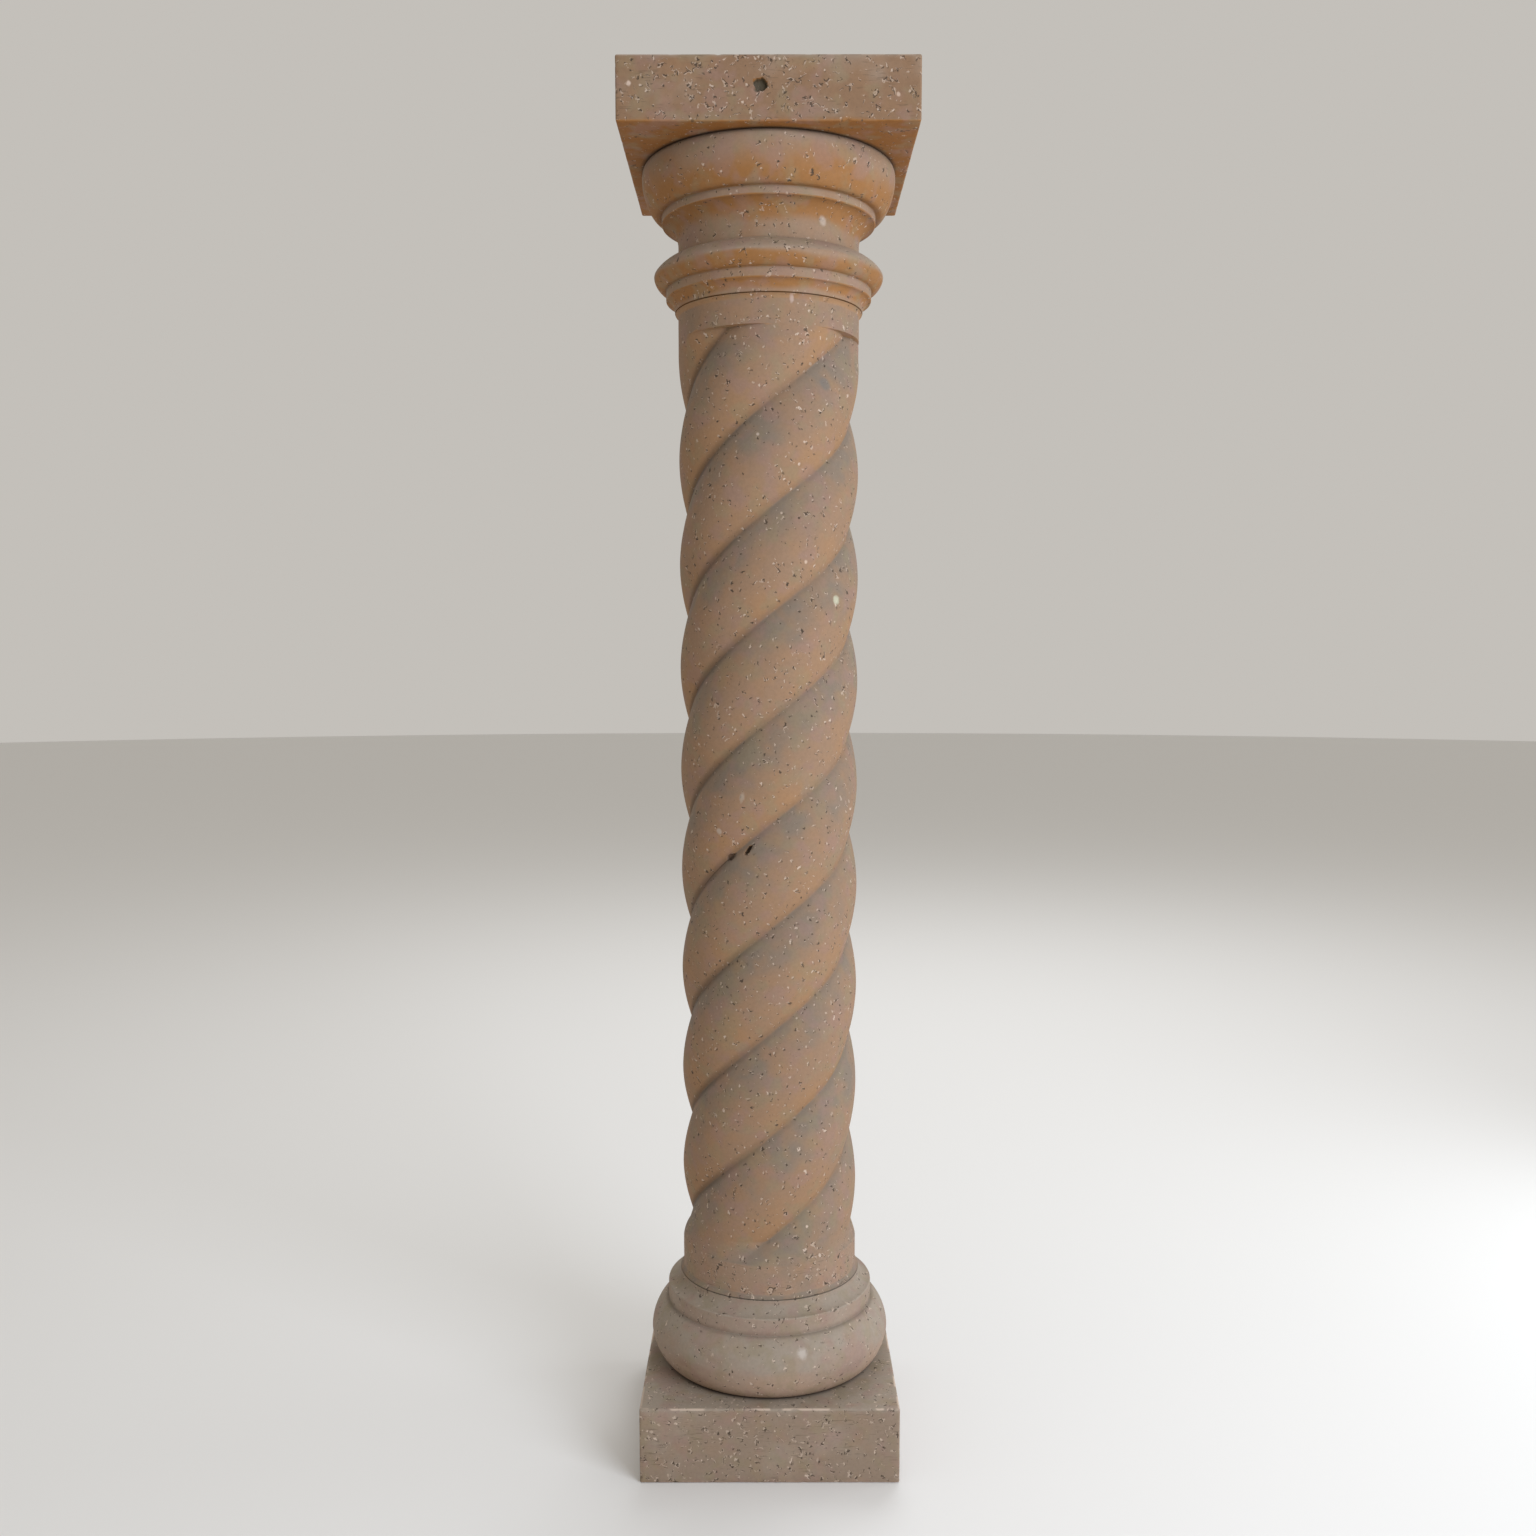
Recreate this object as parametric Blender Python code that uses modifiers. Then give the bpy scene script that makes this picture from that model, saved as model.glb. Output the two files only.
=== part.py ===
"""Barley twist column of carved volcanic stone, in three blocks that stand on each other.

The base block is a square plinth with a turned torus, fillet and hollow. The shaft is one block
whose middle is carved into four strands, which wind up to the right and run into a plain band
at either end. The capital block is a turned neck, with mouldings above and below, under a
square abacus. Metres, +Z up, origin at the centre of the plinth's underside.
"""

import math

import bmesh
import bpy

# Overall
COLUMN_HEIGHT = 2.440
SHAFT_RADIUS = 0.1640
JOINT_GAP = 0.0003

# Base block, from the ground up: what stands out is measured from the shaft's radius
PLINTH_OUT = 0.0680
PLINTH_HEIGHT = 0.1377
BASE_TORUS_HEIGHT = 0.1152
BASE_TORUS_FOOT_OUT = 0.0264
BASE_TORUS_REACH = 0.0330
BASE_TORUS_FULLNESS = 1.65
BASE_FILLET_OUT = 0.0292
BASE_FILLET_HEIGHT = 0.0318
BASE_HOLLOW_HEIGHT = 0.0240

# Shaft block
SEAT_OUT = 0.0060
FLARE_HEIGHT = 0.0090
STRANDS = 4
PITCH = 0.7465
TWIST_START = math.radians(25.7)
GROOVE_DEPTH = 0.0187
LOWER_BAND = 0.0604
LOWER_RUN_OUT = 0.0393
UPPER_BAND = 0.0501
UPPER_RUN_OUT = 0.0030

# Capital block, from the shaft up: what stands out is measured from the shaft's radius
LOWER_HOLLOW_HEIGHT = 0.0206
LOWER_FILLET_OUT = 0.0217
LOWER_FILLET_HEIGHT = 0.0179
ASTRAGAL_HEIGHT = 0.0520
ASTRAGAL_TOP_OUT = 0.0066
ASTRAGAL_REACH = 0.0287
ASTRAGAL_FULLNESS = 1.5
NECK_OUT = -0.0008
NECK_HEIGHT = 0.0263
UPPER_HOLLOW_HEIGHT = 0.0370
UPPER_FILLET_OUT = 0.0287
UPPER_FILLET_HEIGHT = 0.0152
ECHINUS_HEIGHT = 0.0809
ECHINUS_FOOT_OUT = 0.0370
ECHINUS_TOP_OUT = 0.0566
ECHINUS_REACH = 0.0139
ECHINUS_FULLNESS = 1.9
ABACUS_OUT = 0.0860
ABACUS_HEIGHT = 0.1063

# Arrises of the two square slabs
ARRIS = 0.0030
ARRIS_SEGMENTS = 2

# Facets
TURNED_SIDES = 40
FACETS_PER_STRAND = 10
RING_SPACING = 0.0262
SWELL_STEPS = 8
HOLLOW_STEPS = 4
FLARE_STEPS = 2
SHARP_ANGLE = math.radians(35)
MERGE_DISTANCE = 0.00001

# How far a turned part runs into its slab before the two are made one
SINK = 0.010

# Levels and sizes that follow
SEAT_RADIUS = SHAFT_RADIUS + SEAT_OUT
BASE_TOP = PLINTH_HEIGHT + BASE_TORUS_HEIGHT + BASE_FILLET_HEIGHT + BASE_HOLLOW_HEIGHT
CAPITAL_HEIGHT = (
    LOWER_HOLLOW_HEIGHT
    + LOWER_FILLET_HEIGHT
    + ASTRAGAL_HEIGHT
    + NECK_HEIGHT
    + UPPER_HOLLOW_HEIGHT
    + UPPER_FILLET_HEIGHT
    + ECHINUS_HEIGHT
    + ABACUS_HEIGHT
)
CAPITAL_BOTTOM = COLUMN_HEIGHT - CAPITAL_HEIGHT
ABACUS_BOTTOM = COLUMN_HEIGHT - ABACUS_HEIGHT
SHAFT_BOTTOM = BASE_TOP + JOINT_GAP
SHAFT_TOP = CAPITAL_BOTTOM - JOINT_GAP


def clear_scene():
    """Remove every object of the scene."""
    for obj in list(bpy.data.objects):
        bpy.data.objects.remove(obj, do_unlink=True)


def new_collection(name):
    """Return a new collection linked to the scene."""
    collection = bpy.data.collections.new(name)
    bpy.context.scene.collection.children.link(collection)
    return collection


def stone(name, colour, roughness):
    """Return a stone material of one colour."""
    material = bpy.data.materials.new(name)
    material.use_nodes = True
    shader = material.node_tree.nodes["Principled BSDF"]
    shader.inputs["Base Color"].default_value = (*colour, 1.0)
    shader.inputs["Roughness"].default_value = roughness
    shader.inputs["Metallic"].default_value = 0.0
    return material


def swelling(low, high, reach, fullness):
    """Points of a convex moulding between two (radius, height) ends.

    It stands out from the line between its ends by reach. A fullness of 2 is half an ellipse.
    """
    points = []
    for step in range(SWELL_STEPS + 1):
        along = math.sin(math.pi * (step / SWELL_STEPS - 0.5))
        bulge = reach * (1.0 - abs(along) ** fullness) ** (1.0 / fullness)
        share = (along + 1.0) / 2.0
        radius = low[0] + (high[0] - low[0]) * share + bulge
        points.append((radius, low[1] + (high[1] - low[1]) * share))
    return points


def hollow(throat, lip):
    """Points of a concave quarter ellipse, upright at the throat and level at the lip."""
    points = []
    for step in range(HOLLOW_STEPS + 1):
        angle = math.pi / 2 * step / HOLLOW_STEPS
        radius = throat[0] + (lip[0] - throat[0]) * (1.0 - math.cos(angle))
        points.append((radius, throat[1] + (lip[1] - throat[1]) * math.sin(angle)))
    return points


def base_profile():
    """Outer (radius, height) points of the turned part of the base, from its foot up."""
    foot = SHAFT_RADIUS + BASE_TORUS_FOOT_OUT
    fillet = SHAFT_RADIUS + BASE_FILLET_OUT
    torus_top = PLINTH_HEIGHT + BASE_TORUS_HEIGHT
    fillet_top = torus_top + BASE_FILLET_HEIGHT
    points = [(foot, PLINTH_HEIGHT - SINK)]
    points += swelling(
        (foot, PLINTH_HEIGHT), (fillet, torus_top), BASE_TORUS_REACH, BASE_TORUS_FULLNESS
    )
    points += reversed(hollow((SEAT_RADIUS, BASE_TOP), (fillet, fillet_top)))
    return points


def capital_profile():
    """Outer (radius, height) points of the turned part of the capital, from its foot up."""
    lower_fillet = SHAFT_RADIUS + LOWER_FILLET_OUT
    astragal_top = SHAFT_RADIUS + ASTRAGAL_TOP_OUT
    neck = SHAFT_RADIUS + NECK_OUT
    upper_fillet = SHAFT_RADIUS + UPPER_FILLET_OUT
    echinus_foot = SHAFT_RADIUS + ECHINUS_FOOT_OUT
    echinus_top = SHAFT_RADIUS + ECHINUS_TOP_OUT
    fillet_low = CAPITAL_BOTTOM + LOWER_HOLLOW_HEIGHT
    astragal_low = fillet_low + LOWER_FILLET_HEIGHT
    neck_low = astragal_low + ASTRAGAL_HEIGHT
    hollow_low = neck_low + NECK_HEIGHT
    upper_fillet_low = hollow_low + UPPER_HOLLOW_HEIGHT
    echinus_low = upper_fillet_low + UPPER_FILLET_HEIGHT
    points = hollow((SEAT_RADIUS, CAPITAL_BOTTOM), (lower_fillet, fillet_low))
    points += swelling(
        (lower_fillet, astragal_low),
        (astragal_top, neck_low),
        ASTRAGAL_REACH,
        ASTRAGAL_FULLNESS,
    )
    points.append((neck, neck_low))
    points += hollow((neck, hollow_low), (upper_fillet, upper_fillet_low))
    points.append((upper_fillet, echinus_low))
    points += swelling(
        (echinus_foot, echinus_low),
        (echinus_top, ABACUS_BOTTOM),
        ECHINUS_REACH,
        ECHINUS_FULLNESS,
    )
    points.append((echinus_top, ABACUS_BOTTOM + SINK))
    return points


def turned(name, profile, collection):
    """Return an object turned about Z from outer points that run upwards, closed to the axis."""
    low = profile[0][1]
    high = profile[-1][1]
    outline = [(0.0, high), *reversed(profile), (0.0, low)]
    mesh = bpy.data.meshes.new(name)
    edges = [(i, i + 1) for i in range(len(outline) - 1)]
    mesh.from_pydata([(radius, 0.0, z) for radius, z in outline], edges, [])
    obj = bpy.data.objects.new(name, mesh)
    collection.objects.link(obj)
    screw = obj.modifiers.new("Turn", "SCREW")
    screw.steps = TURNED_SIDES
    screw.render_steps = TURNED_SIDES
    screw.use_merge_vertices = True
    screw.merge_threshold = MERGE_DISTANCE
    screw.use_smooth_shade = True
    return obj


def squared_slab(name, out, height, bottom, collection):
    """Return a square slab that stands out from the shaft, with its edges taken off."""
    side = 2 * (SHAFT_RADIUS + out)
    bm = bmesh.new()
    bmesh.ops.create_cube(bm, size=1.0)
    bmesh.ops.scale(bm, vec=(side, side, height), verts=bm.verts)
    bmesh.ops.translate(bm, vec=(0.0, 0.0, bottom + height / 2), verts=bm.verts)
    mesh = bpy.data.meshes.new(name)
    bm.to_mesh(mesh)
    bm.free()
    obj = bpy.data.objects.new(name, mesh)
    collection.objects.link(obj)
    bevel = obj.modifiers.new("Arris", "BEVEL")
    bevel.width = ARRIS
    bevel.segments = ARRIS_SEGMENTS
    bevel.limit_method = "ANGLE"
    return obj


def join_turned(slab, round_part):
    """Make the slab and the turned part one block."""
    union = slab.modifiers.new("One block", "BOOLEAN")
    union.operation = "UNION"
    union.object = round_part
    round_part.hide_render = True
    round_part.display_type = "WIRE"


def groove_share(z):
    """Return how deep the grooves are at a height: 0 in the plain bands, 1 in the twist."""
    rise = (z - SHAFT_BOTTOM - LOWER_BAND) / LOWER_RUN_OUT
    fall = (SHAFT_TOP - UPPER_BAND - z) / UPPER_RUN_OUT
    return max(0.0, min(1.0, rise, fall))


def strand_radius(angle):
    """Return the radius of the grooved section at an angle from the middle of a strand.

    Each strand is an arc about a centre off the axis. Its arcs meet in the grooves' bottoms.
    """
    half = math.pi / STRANDS
    bottom = SHAFT_RADIUS - GROOVE_DEPTH
    offset = (SHAFT_RADIUS**2 - bottom**2) / (2 * (SHAFT_RADIUS - bottom * math.cos(half)))
    reach = SHAFT_RADIUS - offset
    side = offset * math.sin(angle)
    return offset * math.cos(angle) + math.sqrt(reach**2 - side**2)


def flare(z):
    """Return how far the shaft widens towards its two seats at a height."""
    from_seat = min(z - SHAFT_BOTTOM, SHAFT_TOP - z)
    share = max(0.0, 1.0 - from_seat / FLARE_HEIGHT)
    return (SEAT_RADIUS - SHAFT_RADIUS) * share**2


def shaft_levels():
    """Heights of the shaft's rings, from its foot up."""
    run_out_low = SHAFT_BOTTOM + LOWER_BAND
    run_out_high = SHAFT_TOP - UPPER_BAND
    levels = [SHAFT_BOTTOM + FLARE_HEIGHT * i / FLARE_STEPS for i in range(FLARE_STEPS + 1)]
    full_low = run_out_low + LOWER_RUN_OUT
    full_high = run_out_high - UPPER_RUN_OUT
    spans = (
        (levels[-1], run_out_low),
        (run_out_low, full_low),
        (full_low, full_high),
        (full_high, run_out_high),
        (run_out_high, SHAFT_TOP - FLARE_HEIGHT),
    )
    for low, high in spans:
        count = max(1, math.ceil((high - low) / RING_SPACING))
        levels += [low + (high - low) * (i + 1) / count for i in range(count)]
    levels += [
        SHAFT_TOP - FLARE_HEIGHT * (1 - (i + 1) / FLARE_STEPS) for i in range(FLARE_STEPS)
    ]
    return levels


def twisted_shaft(name, collection):
    """Return the shaft, a loft of rings that turn with the strands and are plain at the ends."""
    bm = bmesh.new()
    rings = []
    facets = STRANDS * FACETS_PER_STRAND
    half = math.pi / STRANDS
    for z in shaft_levels():
        turn = TWIST_START + 2 * math.pi * z / PITCH
        share = groove_share(z)
        ring = []
        for facet in range(facets):
            along = (facet % FACETS_PER_STRAND) / FACETS_PER_STRAND
            carved = strand_radius(half * (2 * along - 1))
            radius = SHAFT_RADIUS + share * (carved - SHAFT_RADIUS) + flare(z)
            angle = turn + 2 * math.pi * facet / facets - half
            ring.append(bm.verts.new((radius * math.cos(angle), radius * math.sin(angle), z)))
        rings.append(ring)
    for low, high in zip(rings, rings[1:]):
        for i in range(facets):
            j = (i + 1) % facets
            bm.faces.new((low[i], low[j], high[j], high[i]))
    bm.faces.new(reversed(rings[0]))
    bm.faces.new(rings[-1])
    mesh = bpy.data.meshes.new(name)
    bm.to_mesh(mesh)
    bm.free()
    mesh.shade_smooth()
    mesh.set_sharp_from_angle(angle=SHARP_ANGLE)
    obj = bpy.data.objects.new(name, mesh)
    collection.objects.link(obj)
    return obj


def main():
    """Build the three blocks in their places."""
    clear_scene()
    column = new_collection("Barley twist column")
    rounds = new_collection("Turned parts")

    base = squared_slab("base", PLINTH_OUT, PLINTH_HEIGHT, 0.0, column)
    join_turned(base, turned("base_round", base_profile(), rounds))
    base.data.materials.append(stone("Base stone", (0.29, 0.21, 0.155), 0.85))

    shaft = twisted_shaft("twisted_shaft", column)
    shaft.data.materials.append(stone("Shaft stone", (0.29, 0.20, 0.145), 0.80))

    capital = squared_slab("capital", ABACUS_OUT, ABACUS_HEIGHT, ABACUS_BOTTOM, column)
    join_turned(capital, turned("capital_round", capital_profile(), rounds))
    capital.data.materials.append(stone("Capital stone", (0.27, 0.18, 0.12), 0.85))


main()
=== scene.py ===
"""Looks of the barley twist column, in metres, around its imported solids.

Three blocks of pinkish volcanic stone stand on each other: a base with a square plinth, a shaft
carved into four strands that wind up to the right, and a capital under a square abacus. Each
block here is a finer mesh of the same form as its solid, and stands for it.
"""

import logging
import math
from collections.abc import Iterable
from dataclasses import dataclass
from enum import Enum
from typing import ClassVar

import bmesh
import bpy
from bmesh.types import BMEdge, BMesh, BMVert
from mathutils import Euler, Matrix, Vector, noise


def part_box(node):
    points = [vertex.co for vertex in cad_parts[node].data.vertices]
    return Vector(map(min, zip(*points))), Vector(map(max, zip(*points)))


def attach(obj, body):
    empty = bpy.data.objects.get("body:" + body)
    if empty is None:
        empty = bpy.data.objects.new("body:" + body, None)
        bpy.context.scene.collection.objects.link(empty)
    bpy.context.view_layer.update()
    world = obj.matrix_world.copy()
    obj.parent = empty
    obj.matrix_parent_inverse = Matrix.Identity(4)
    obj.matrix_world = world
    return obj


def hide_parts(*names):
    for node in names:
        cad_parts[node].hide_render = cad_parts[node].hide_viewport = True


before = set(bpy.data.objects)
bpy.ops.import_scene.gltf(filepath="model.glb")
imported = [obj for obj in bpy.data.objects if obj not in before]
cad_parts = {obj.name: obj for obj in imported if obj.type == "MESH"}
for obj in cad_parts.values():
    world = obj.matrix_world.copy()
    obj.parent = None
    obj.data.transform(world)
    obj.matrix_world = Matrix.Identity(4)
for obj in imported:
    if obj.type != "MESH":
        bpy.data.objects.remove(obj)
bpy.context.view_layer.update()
BODY = "root"
LOG = logging.getLogger("column")

Colour = tuple[float, float, float]
Point = tuple[float, float]
Socket = bpy.types.NodeSocket

# All three blocks are sized from the shaft, whose ends flare to the seats they stand on.
SHAFT_RADIUS = 0.1640
SEAT_RADIUS = SHAFT_RADIUS + 0.0060

# A quarter turn has as many steps as a slab's side has cells, so that the two can be welded.
TURN_STEPS = 384
CELLS_A_SIDE = TURN_STEPS // 4
WELD = 0.000001
PIT_CUTS = 3

# The narrow open slot that shows at each joint.
JOINT_SLOT = 0.0004
JOINT_DEPTH = 0.0045


class Node(Enum):
    """The CAD nodes that the carved blocks stand for."""

    BASE = "base"
    SHAFT = "twisted_shaft"
    CAPITAL = "capital"


class Slot(Enum):
    """The record's material slots."""

    BASE = "base_stone"
    SHAFT = "shaft_stone"
    CAPITAL = "capital_stone"


class Mark(Enum):
    """Names of the point attributes that tell a material how a place is worn, and where shade is
    painted.
    """

    ARRIS = "arris"
    BROKEN = "broken"
    SAWN = "sawn"
    SHELTER = "shelter"


def eased(distance: float, radius: float) -> float:
    """Return how far a rounded arris falls back.

    Args:
        distance: how far along the face the place is from the arris.
        radius: the arris's radius.

    Returns:
        The fall, from radius at the arris to 0 at radius from it.
    """
    if distance >= radius:
        return 0.0
    short = radius - max(distance, 0.0)
    return radius - math.sqrt(max(radius * radius - short * short, 0.0))


def smooth_step(low: float, high: float, value: float) -> float:
    """Return 0 below low, 1 above high and a smooth rise between them."""
    share = min(max((value - low) / (high - low), 0.0), 1.0)
    return share * share * (3 - 2 * share)


def bearing(vert: BMVert) -> float:
    """Return a point's angle round the axis, from just before +X."""
    return (math.atan2(vert.co.y, vert.co.x) + 0.001) % (2 * math.pi)


def ripple(place: Vector, length: float, seed: float) -> float:
    """Return smooth noise, from about -1 to 1, with waves of a length and shifted by a seed."""
    return noise.noise(place / length + Vector((seed, seed * 1.7, -seed)))


@dataclass(frozen=True)
class Wave:
    """A shallow wave in a hand-rubbed surface.

    Args:
        depth: how far it lies under the true form on average.
        length: how long it is.
        seed: shifts it, so that two waves differ.
    """

    depth: float
    length: float
    seed: float

    def fall(self, place: Vector) -> float:
        """Return how far the surface lies under the true form at a place."""
        return self.depth * (1 + ripple(place, self.length, self.seed))


@dataclass(frozen=True)
class Span:
    """The box of a CAD node.

    Args:
        low: its lowest corner.
        high: its highest corner.
    """

    low: Vector
    high: Vector

    @classmethod
    def of(cls, node: Node) -> "Span":
        """Return the box of a node at rest."""
        return cls(*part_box(node.value))


def between(start: Point, end: Point, share: float) -> Point:
    """Return the point that lies a share of the way from a start to an end."""
    return tuple(a + (b - a) * share for a, b in zip(start, end))


def evenly(points: list[Point], step: float) -> list[Point]:
    """Space points evenly along a line.

    Args:
        points: the line.
        step: about how far apart they end up.

    Returns:
        The new points, with both ends kept.
    """
    lengths = [math.dist(a, b) for a, b in zip(points, points[1:])]
    total = sum(lengths)
    count = max(2, math.ceil(total / step))
    placed = [points[0]]
    gone, index = 0.0, 0
    for number in range(1, count):
        goal = total * number / count
        while gone + lengths[index] < goal:
            gone += lengths[index]
            index += 1
        share = (goal - gone) / lengths[index]
        placed.append(between(points[index], points[index + 1], share))
    placed.append(points[-1])
    return placed


def cut_back(points: list[Point], by: float) -> list[Point]:
    """Take the first stretch off a line.

    Args:
        points: the line.
        by: the stretch's length. It is never quite half of the line.

    Returns:
        The rest of the line.
    """
    total = sum(math.dist(a, b) for a, b in zip(points, points[1:]))
    left = min(by, total * 0.45)
    for index, (a, b) in enumerate(zip(points, points[1:])):
        length = math.dist(a, b)
        if length > left:
            return [between(a, b, left / length), *points[index + 1 :]]
        left -= length
    return points[-2:]


class Outline:
    """The outer line of a turned part, drawn upwards as (radius, height) points.

    Args:
        start: its first point.
        step: the distance between points on its curves.
    """

    swelling_steps: ClassVar[int] = 128
    hollow_steps: ClassVar[int] = 64
    arris_steps: ClassVar[int] = 4

    def __init__(self, start: Point, step: float) -> None:
        """Start a line that has only its first point.

        Args:
            start: that point.
            step: the distance between points on its curves.
        """
        self.step = step
        self.runs: list[list[Point]] = []
        self.eases: list[float] = []
        self.end = start

    def add(self, points: list[Point], ease: float) -> None:
        """Append a run that starts where the last one ended.

        Args:
            points: the run, from its start to its end.
            ease: radius of the arris where it meets the run before it.
        """
        self.runs.append(evenly(points, self.step))
        self.eases.append(ease)
        self.end = points[-1]

    def straight(self, to: Point, ease: float) -> None:
        """Append a straight run to a point."""
        self.add([self.end, to], ease)

    def swelling(self, to: Point, reach: float, fullness: float, ease: float) -> None:
        """Append a convex moulding.

        Args:
            to: its upper end.
            reach: how far it stands out from the line between its ends.
            fullness: 2 is half an ellipse.
            ease: radius of the arris at its foot.
        """
        points = []
        for index in range(self.swelling_steps + 1):
            along = math.sin(math.pi * (index / self.swelling_steps - 0.5))
            bulge = reach * (1.0 - abs(along) ** fullness) ** (1.0 / fullness)
            radius, height = between(self.end, to, (along + 1.0) / 2.0)
            points.append((radius + bulge, height))
        self.add(points, ease)

    def hollow(self, to: Point, lip_first: bool, ease: float) -> None:
        """Append a concave quarter ellipse, upright at its throat and level at its lip.

        Args:
            to: its upper end.
            lip_first: whether its lip is its lower end.
            ease: radius of the arris at its foot.
        """
        lip, throat = (self.end, to) if lip_first else (to, self.end)
        points = []
        for index in range(self.hollow_steps + 1):
            angle = math.pi / 2 * index / self.hollow_steps
            radius = throat[0] + (lip[0] - throat[0]) * (1.0 - math.cos(angle))
            points.append((radius, throat[1] + (lip[1] - throat[1]) * math.sin(angle)))
        self.add(points[::-1] if lip_first else points, ease)

    def rounded(self, before: Point, corner: Point, after: Point) -> list[Point]:
        """Round an arris.

        Args:
            before: where the rounding starts.
            corner: where the two runs meet.
            after: where the rounding ends.

        Returns:
            The points between its start and its end.
        """
        found = []
        for index in range(1, self.arris_steps):
            share = index / self.arris_steps
            found.append(tuple(
                a * (1 - share) ** 2 + 2 * b * share * (1 - share) + c * share**2
                for a, b, c in zip(before, corner, after)
            ))
        return found

    def points(self) -> list[Point]:
        """Join the runs.

        Returns:
            The whole line, with its arrises rounded.
        """
        line = list(self.runs[0])
        for run, ease in zip(self.runs[1:], self.eases[1:]):
            if ease == 0.0:
                line += run[1:]
                continue
            line = cut_back(line[::-1], ease)[::-1]
            after = cut_back(run, ease)
            line += self.rounded(line[-1], run[0], after[0]) + after
        return line


@dataclass(frozen=True)
class Pit:
    """A hollow broken out of a surface.

    Args:
        place: its middle, on the surface.
        across: half its width.
        along: half its length.
        lean: the turn of its length from level, towards upright, in radians.
        depth: how deep it is.
        dark: how dark its inside is painted, as painted shade, from 0 to 1.
    """

    place: Vector
    across: float
    along: float
    lean: float
    depth: float
    dark: float = 1.0

    # Its edge is ragged: how much, at what share of its width, and with which seed.
    coarse_edge: ClassVar[tuple[float, float, float]] = (0.26, 0.7, 5.6)
    fine_edge: ClassVar[tuple[float, float, float]] = (0.16, 0.3, 8.3)
    edge_starts: ClassVar[float] = 0.72

    def share(self, place: Vector) -> float:
        """Tell how deep the pit is at a place.

        Args:
            place: the place.

        Returns:
            The share of its full depth, from 0 outside to 1.
        """
        apart = place - self.place
        if apart.length > 2 * self.along:
            return 0.0
        outward = Vector((self.place.x, self.place.y, 0.0)).normalized()
        level = Vector((-outward.y, outward.x, 0.0))
        side, rise = apart.dot(level), apart.z
        length = side * math.cos(self.lean) + rise * math.sin(self.lean)
        width = rise * math.cos(self.lean) - side * math.sin(self.lean)
        far = math.hypot(length / self.along, width / self.across)
        for ragged, size, seed in (self.coarse_edge, self.fine_edge):
            far += ragged * ripple(place, size * self.across, seed)
        return 1.0 - smooth_step(self.edge_starts, 1.0, far)

    def shade(self, place: Vector) -> float:
        """Return how dark the painted shade in the pit is at a place, from 0 outside to 1."""
        return self.dark * smooth_step(0.0, 0.35, self.share(place))

    def near(self, place: Vector) -> bool:
        """Return whether a place is in the pit or close to its edge."""
        return (place - self.place).length < 1.25 * self.along


@dataclass(frozen=True)
class Crease:
    """A hollow corner round a turned part, darkened with painted shade, or a joint's dark line.

    Args:
        radius: the radius of the corner.
        z: its height.
        width: how far the darkening spreads from it.
        strength: how dark it is there, from 0 to 1.
    """

    radius: float
    z: float
    width: float
    strength: float

    def share(self, place: Vector) -> float:
        """Return how dark the corner is painted at a place, from 0 to 1."""
        apart = math.hypot(math.hypot(place.x, place.y) - self.radius, place.z - self.z)
        return self.strength * (1.0 - smooth_step(0.0, self.width, apart))


def refine(bm: BMesh, pits: Iterable[Pit]) -> None:
    """Make the mesh finer in and around pits.

    Args:
        bm: the mesh.
        pits: the places.
    """
    for pit in pits:
        edges = [e for e in bm.edges if all(pit.near(v.co) for v in e.verts)]
        bmesh.ops.subdivide_edges(bm, edges=edges, cuts=PIT_CUTS, use_grid_fill=True)


def mark_layers(bm: BMesh) -> dict[Mark, bmesh.types.BMLayerItem]:
    """Add a point layer to a mesh for each mark, and return the layers."""
    return {mark: bm.verts.layers.float.new(mark.value) for mark in Mark}


def finished(bm: BMesh, name: str, sharp: float) -> bpy.types.Object:
    """Turn a mesh in the making into an object.

    Args:
        bm: the mesh, which is freed.
        name: the piece's name.
        sharp: edges that bend more than this are shaded sharp, in radians.

    Returns:
        The object, linked to the scene.
    """
    bmesh.ops.recalc_face_normals(bm, faces=bm.faces)
    mesh = bpy.data.meshes.new(name)
    bm.to_mesh(mesh)
    bm.free()
    mesh.shade_smooth()
    mesh.set_sharp_from_angle(angle=sharp)
    piece = bpy.data.objects.new(name, mesh)
    bpy.context.scene.collection.objects.link(piece)
    return piece


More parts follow.
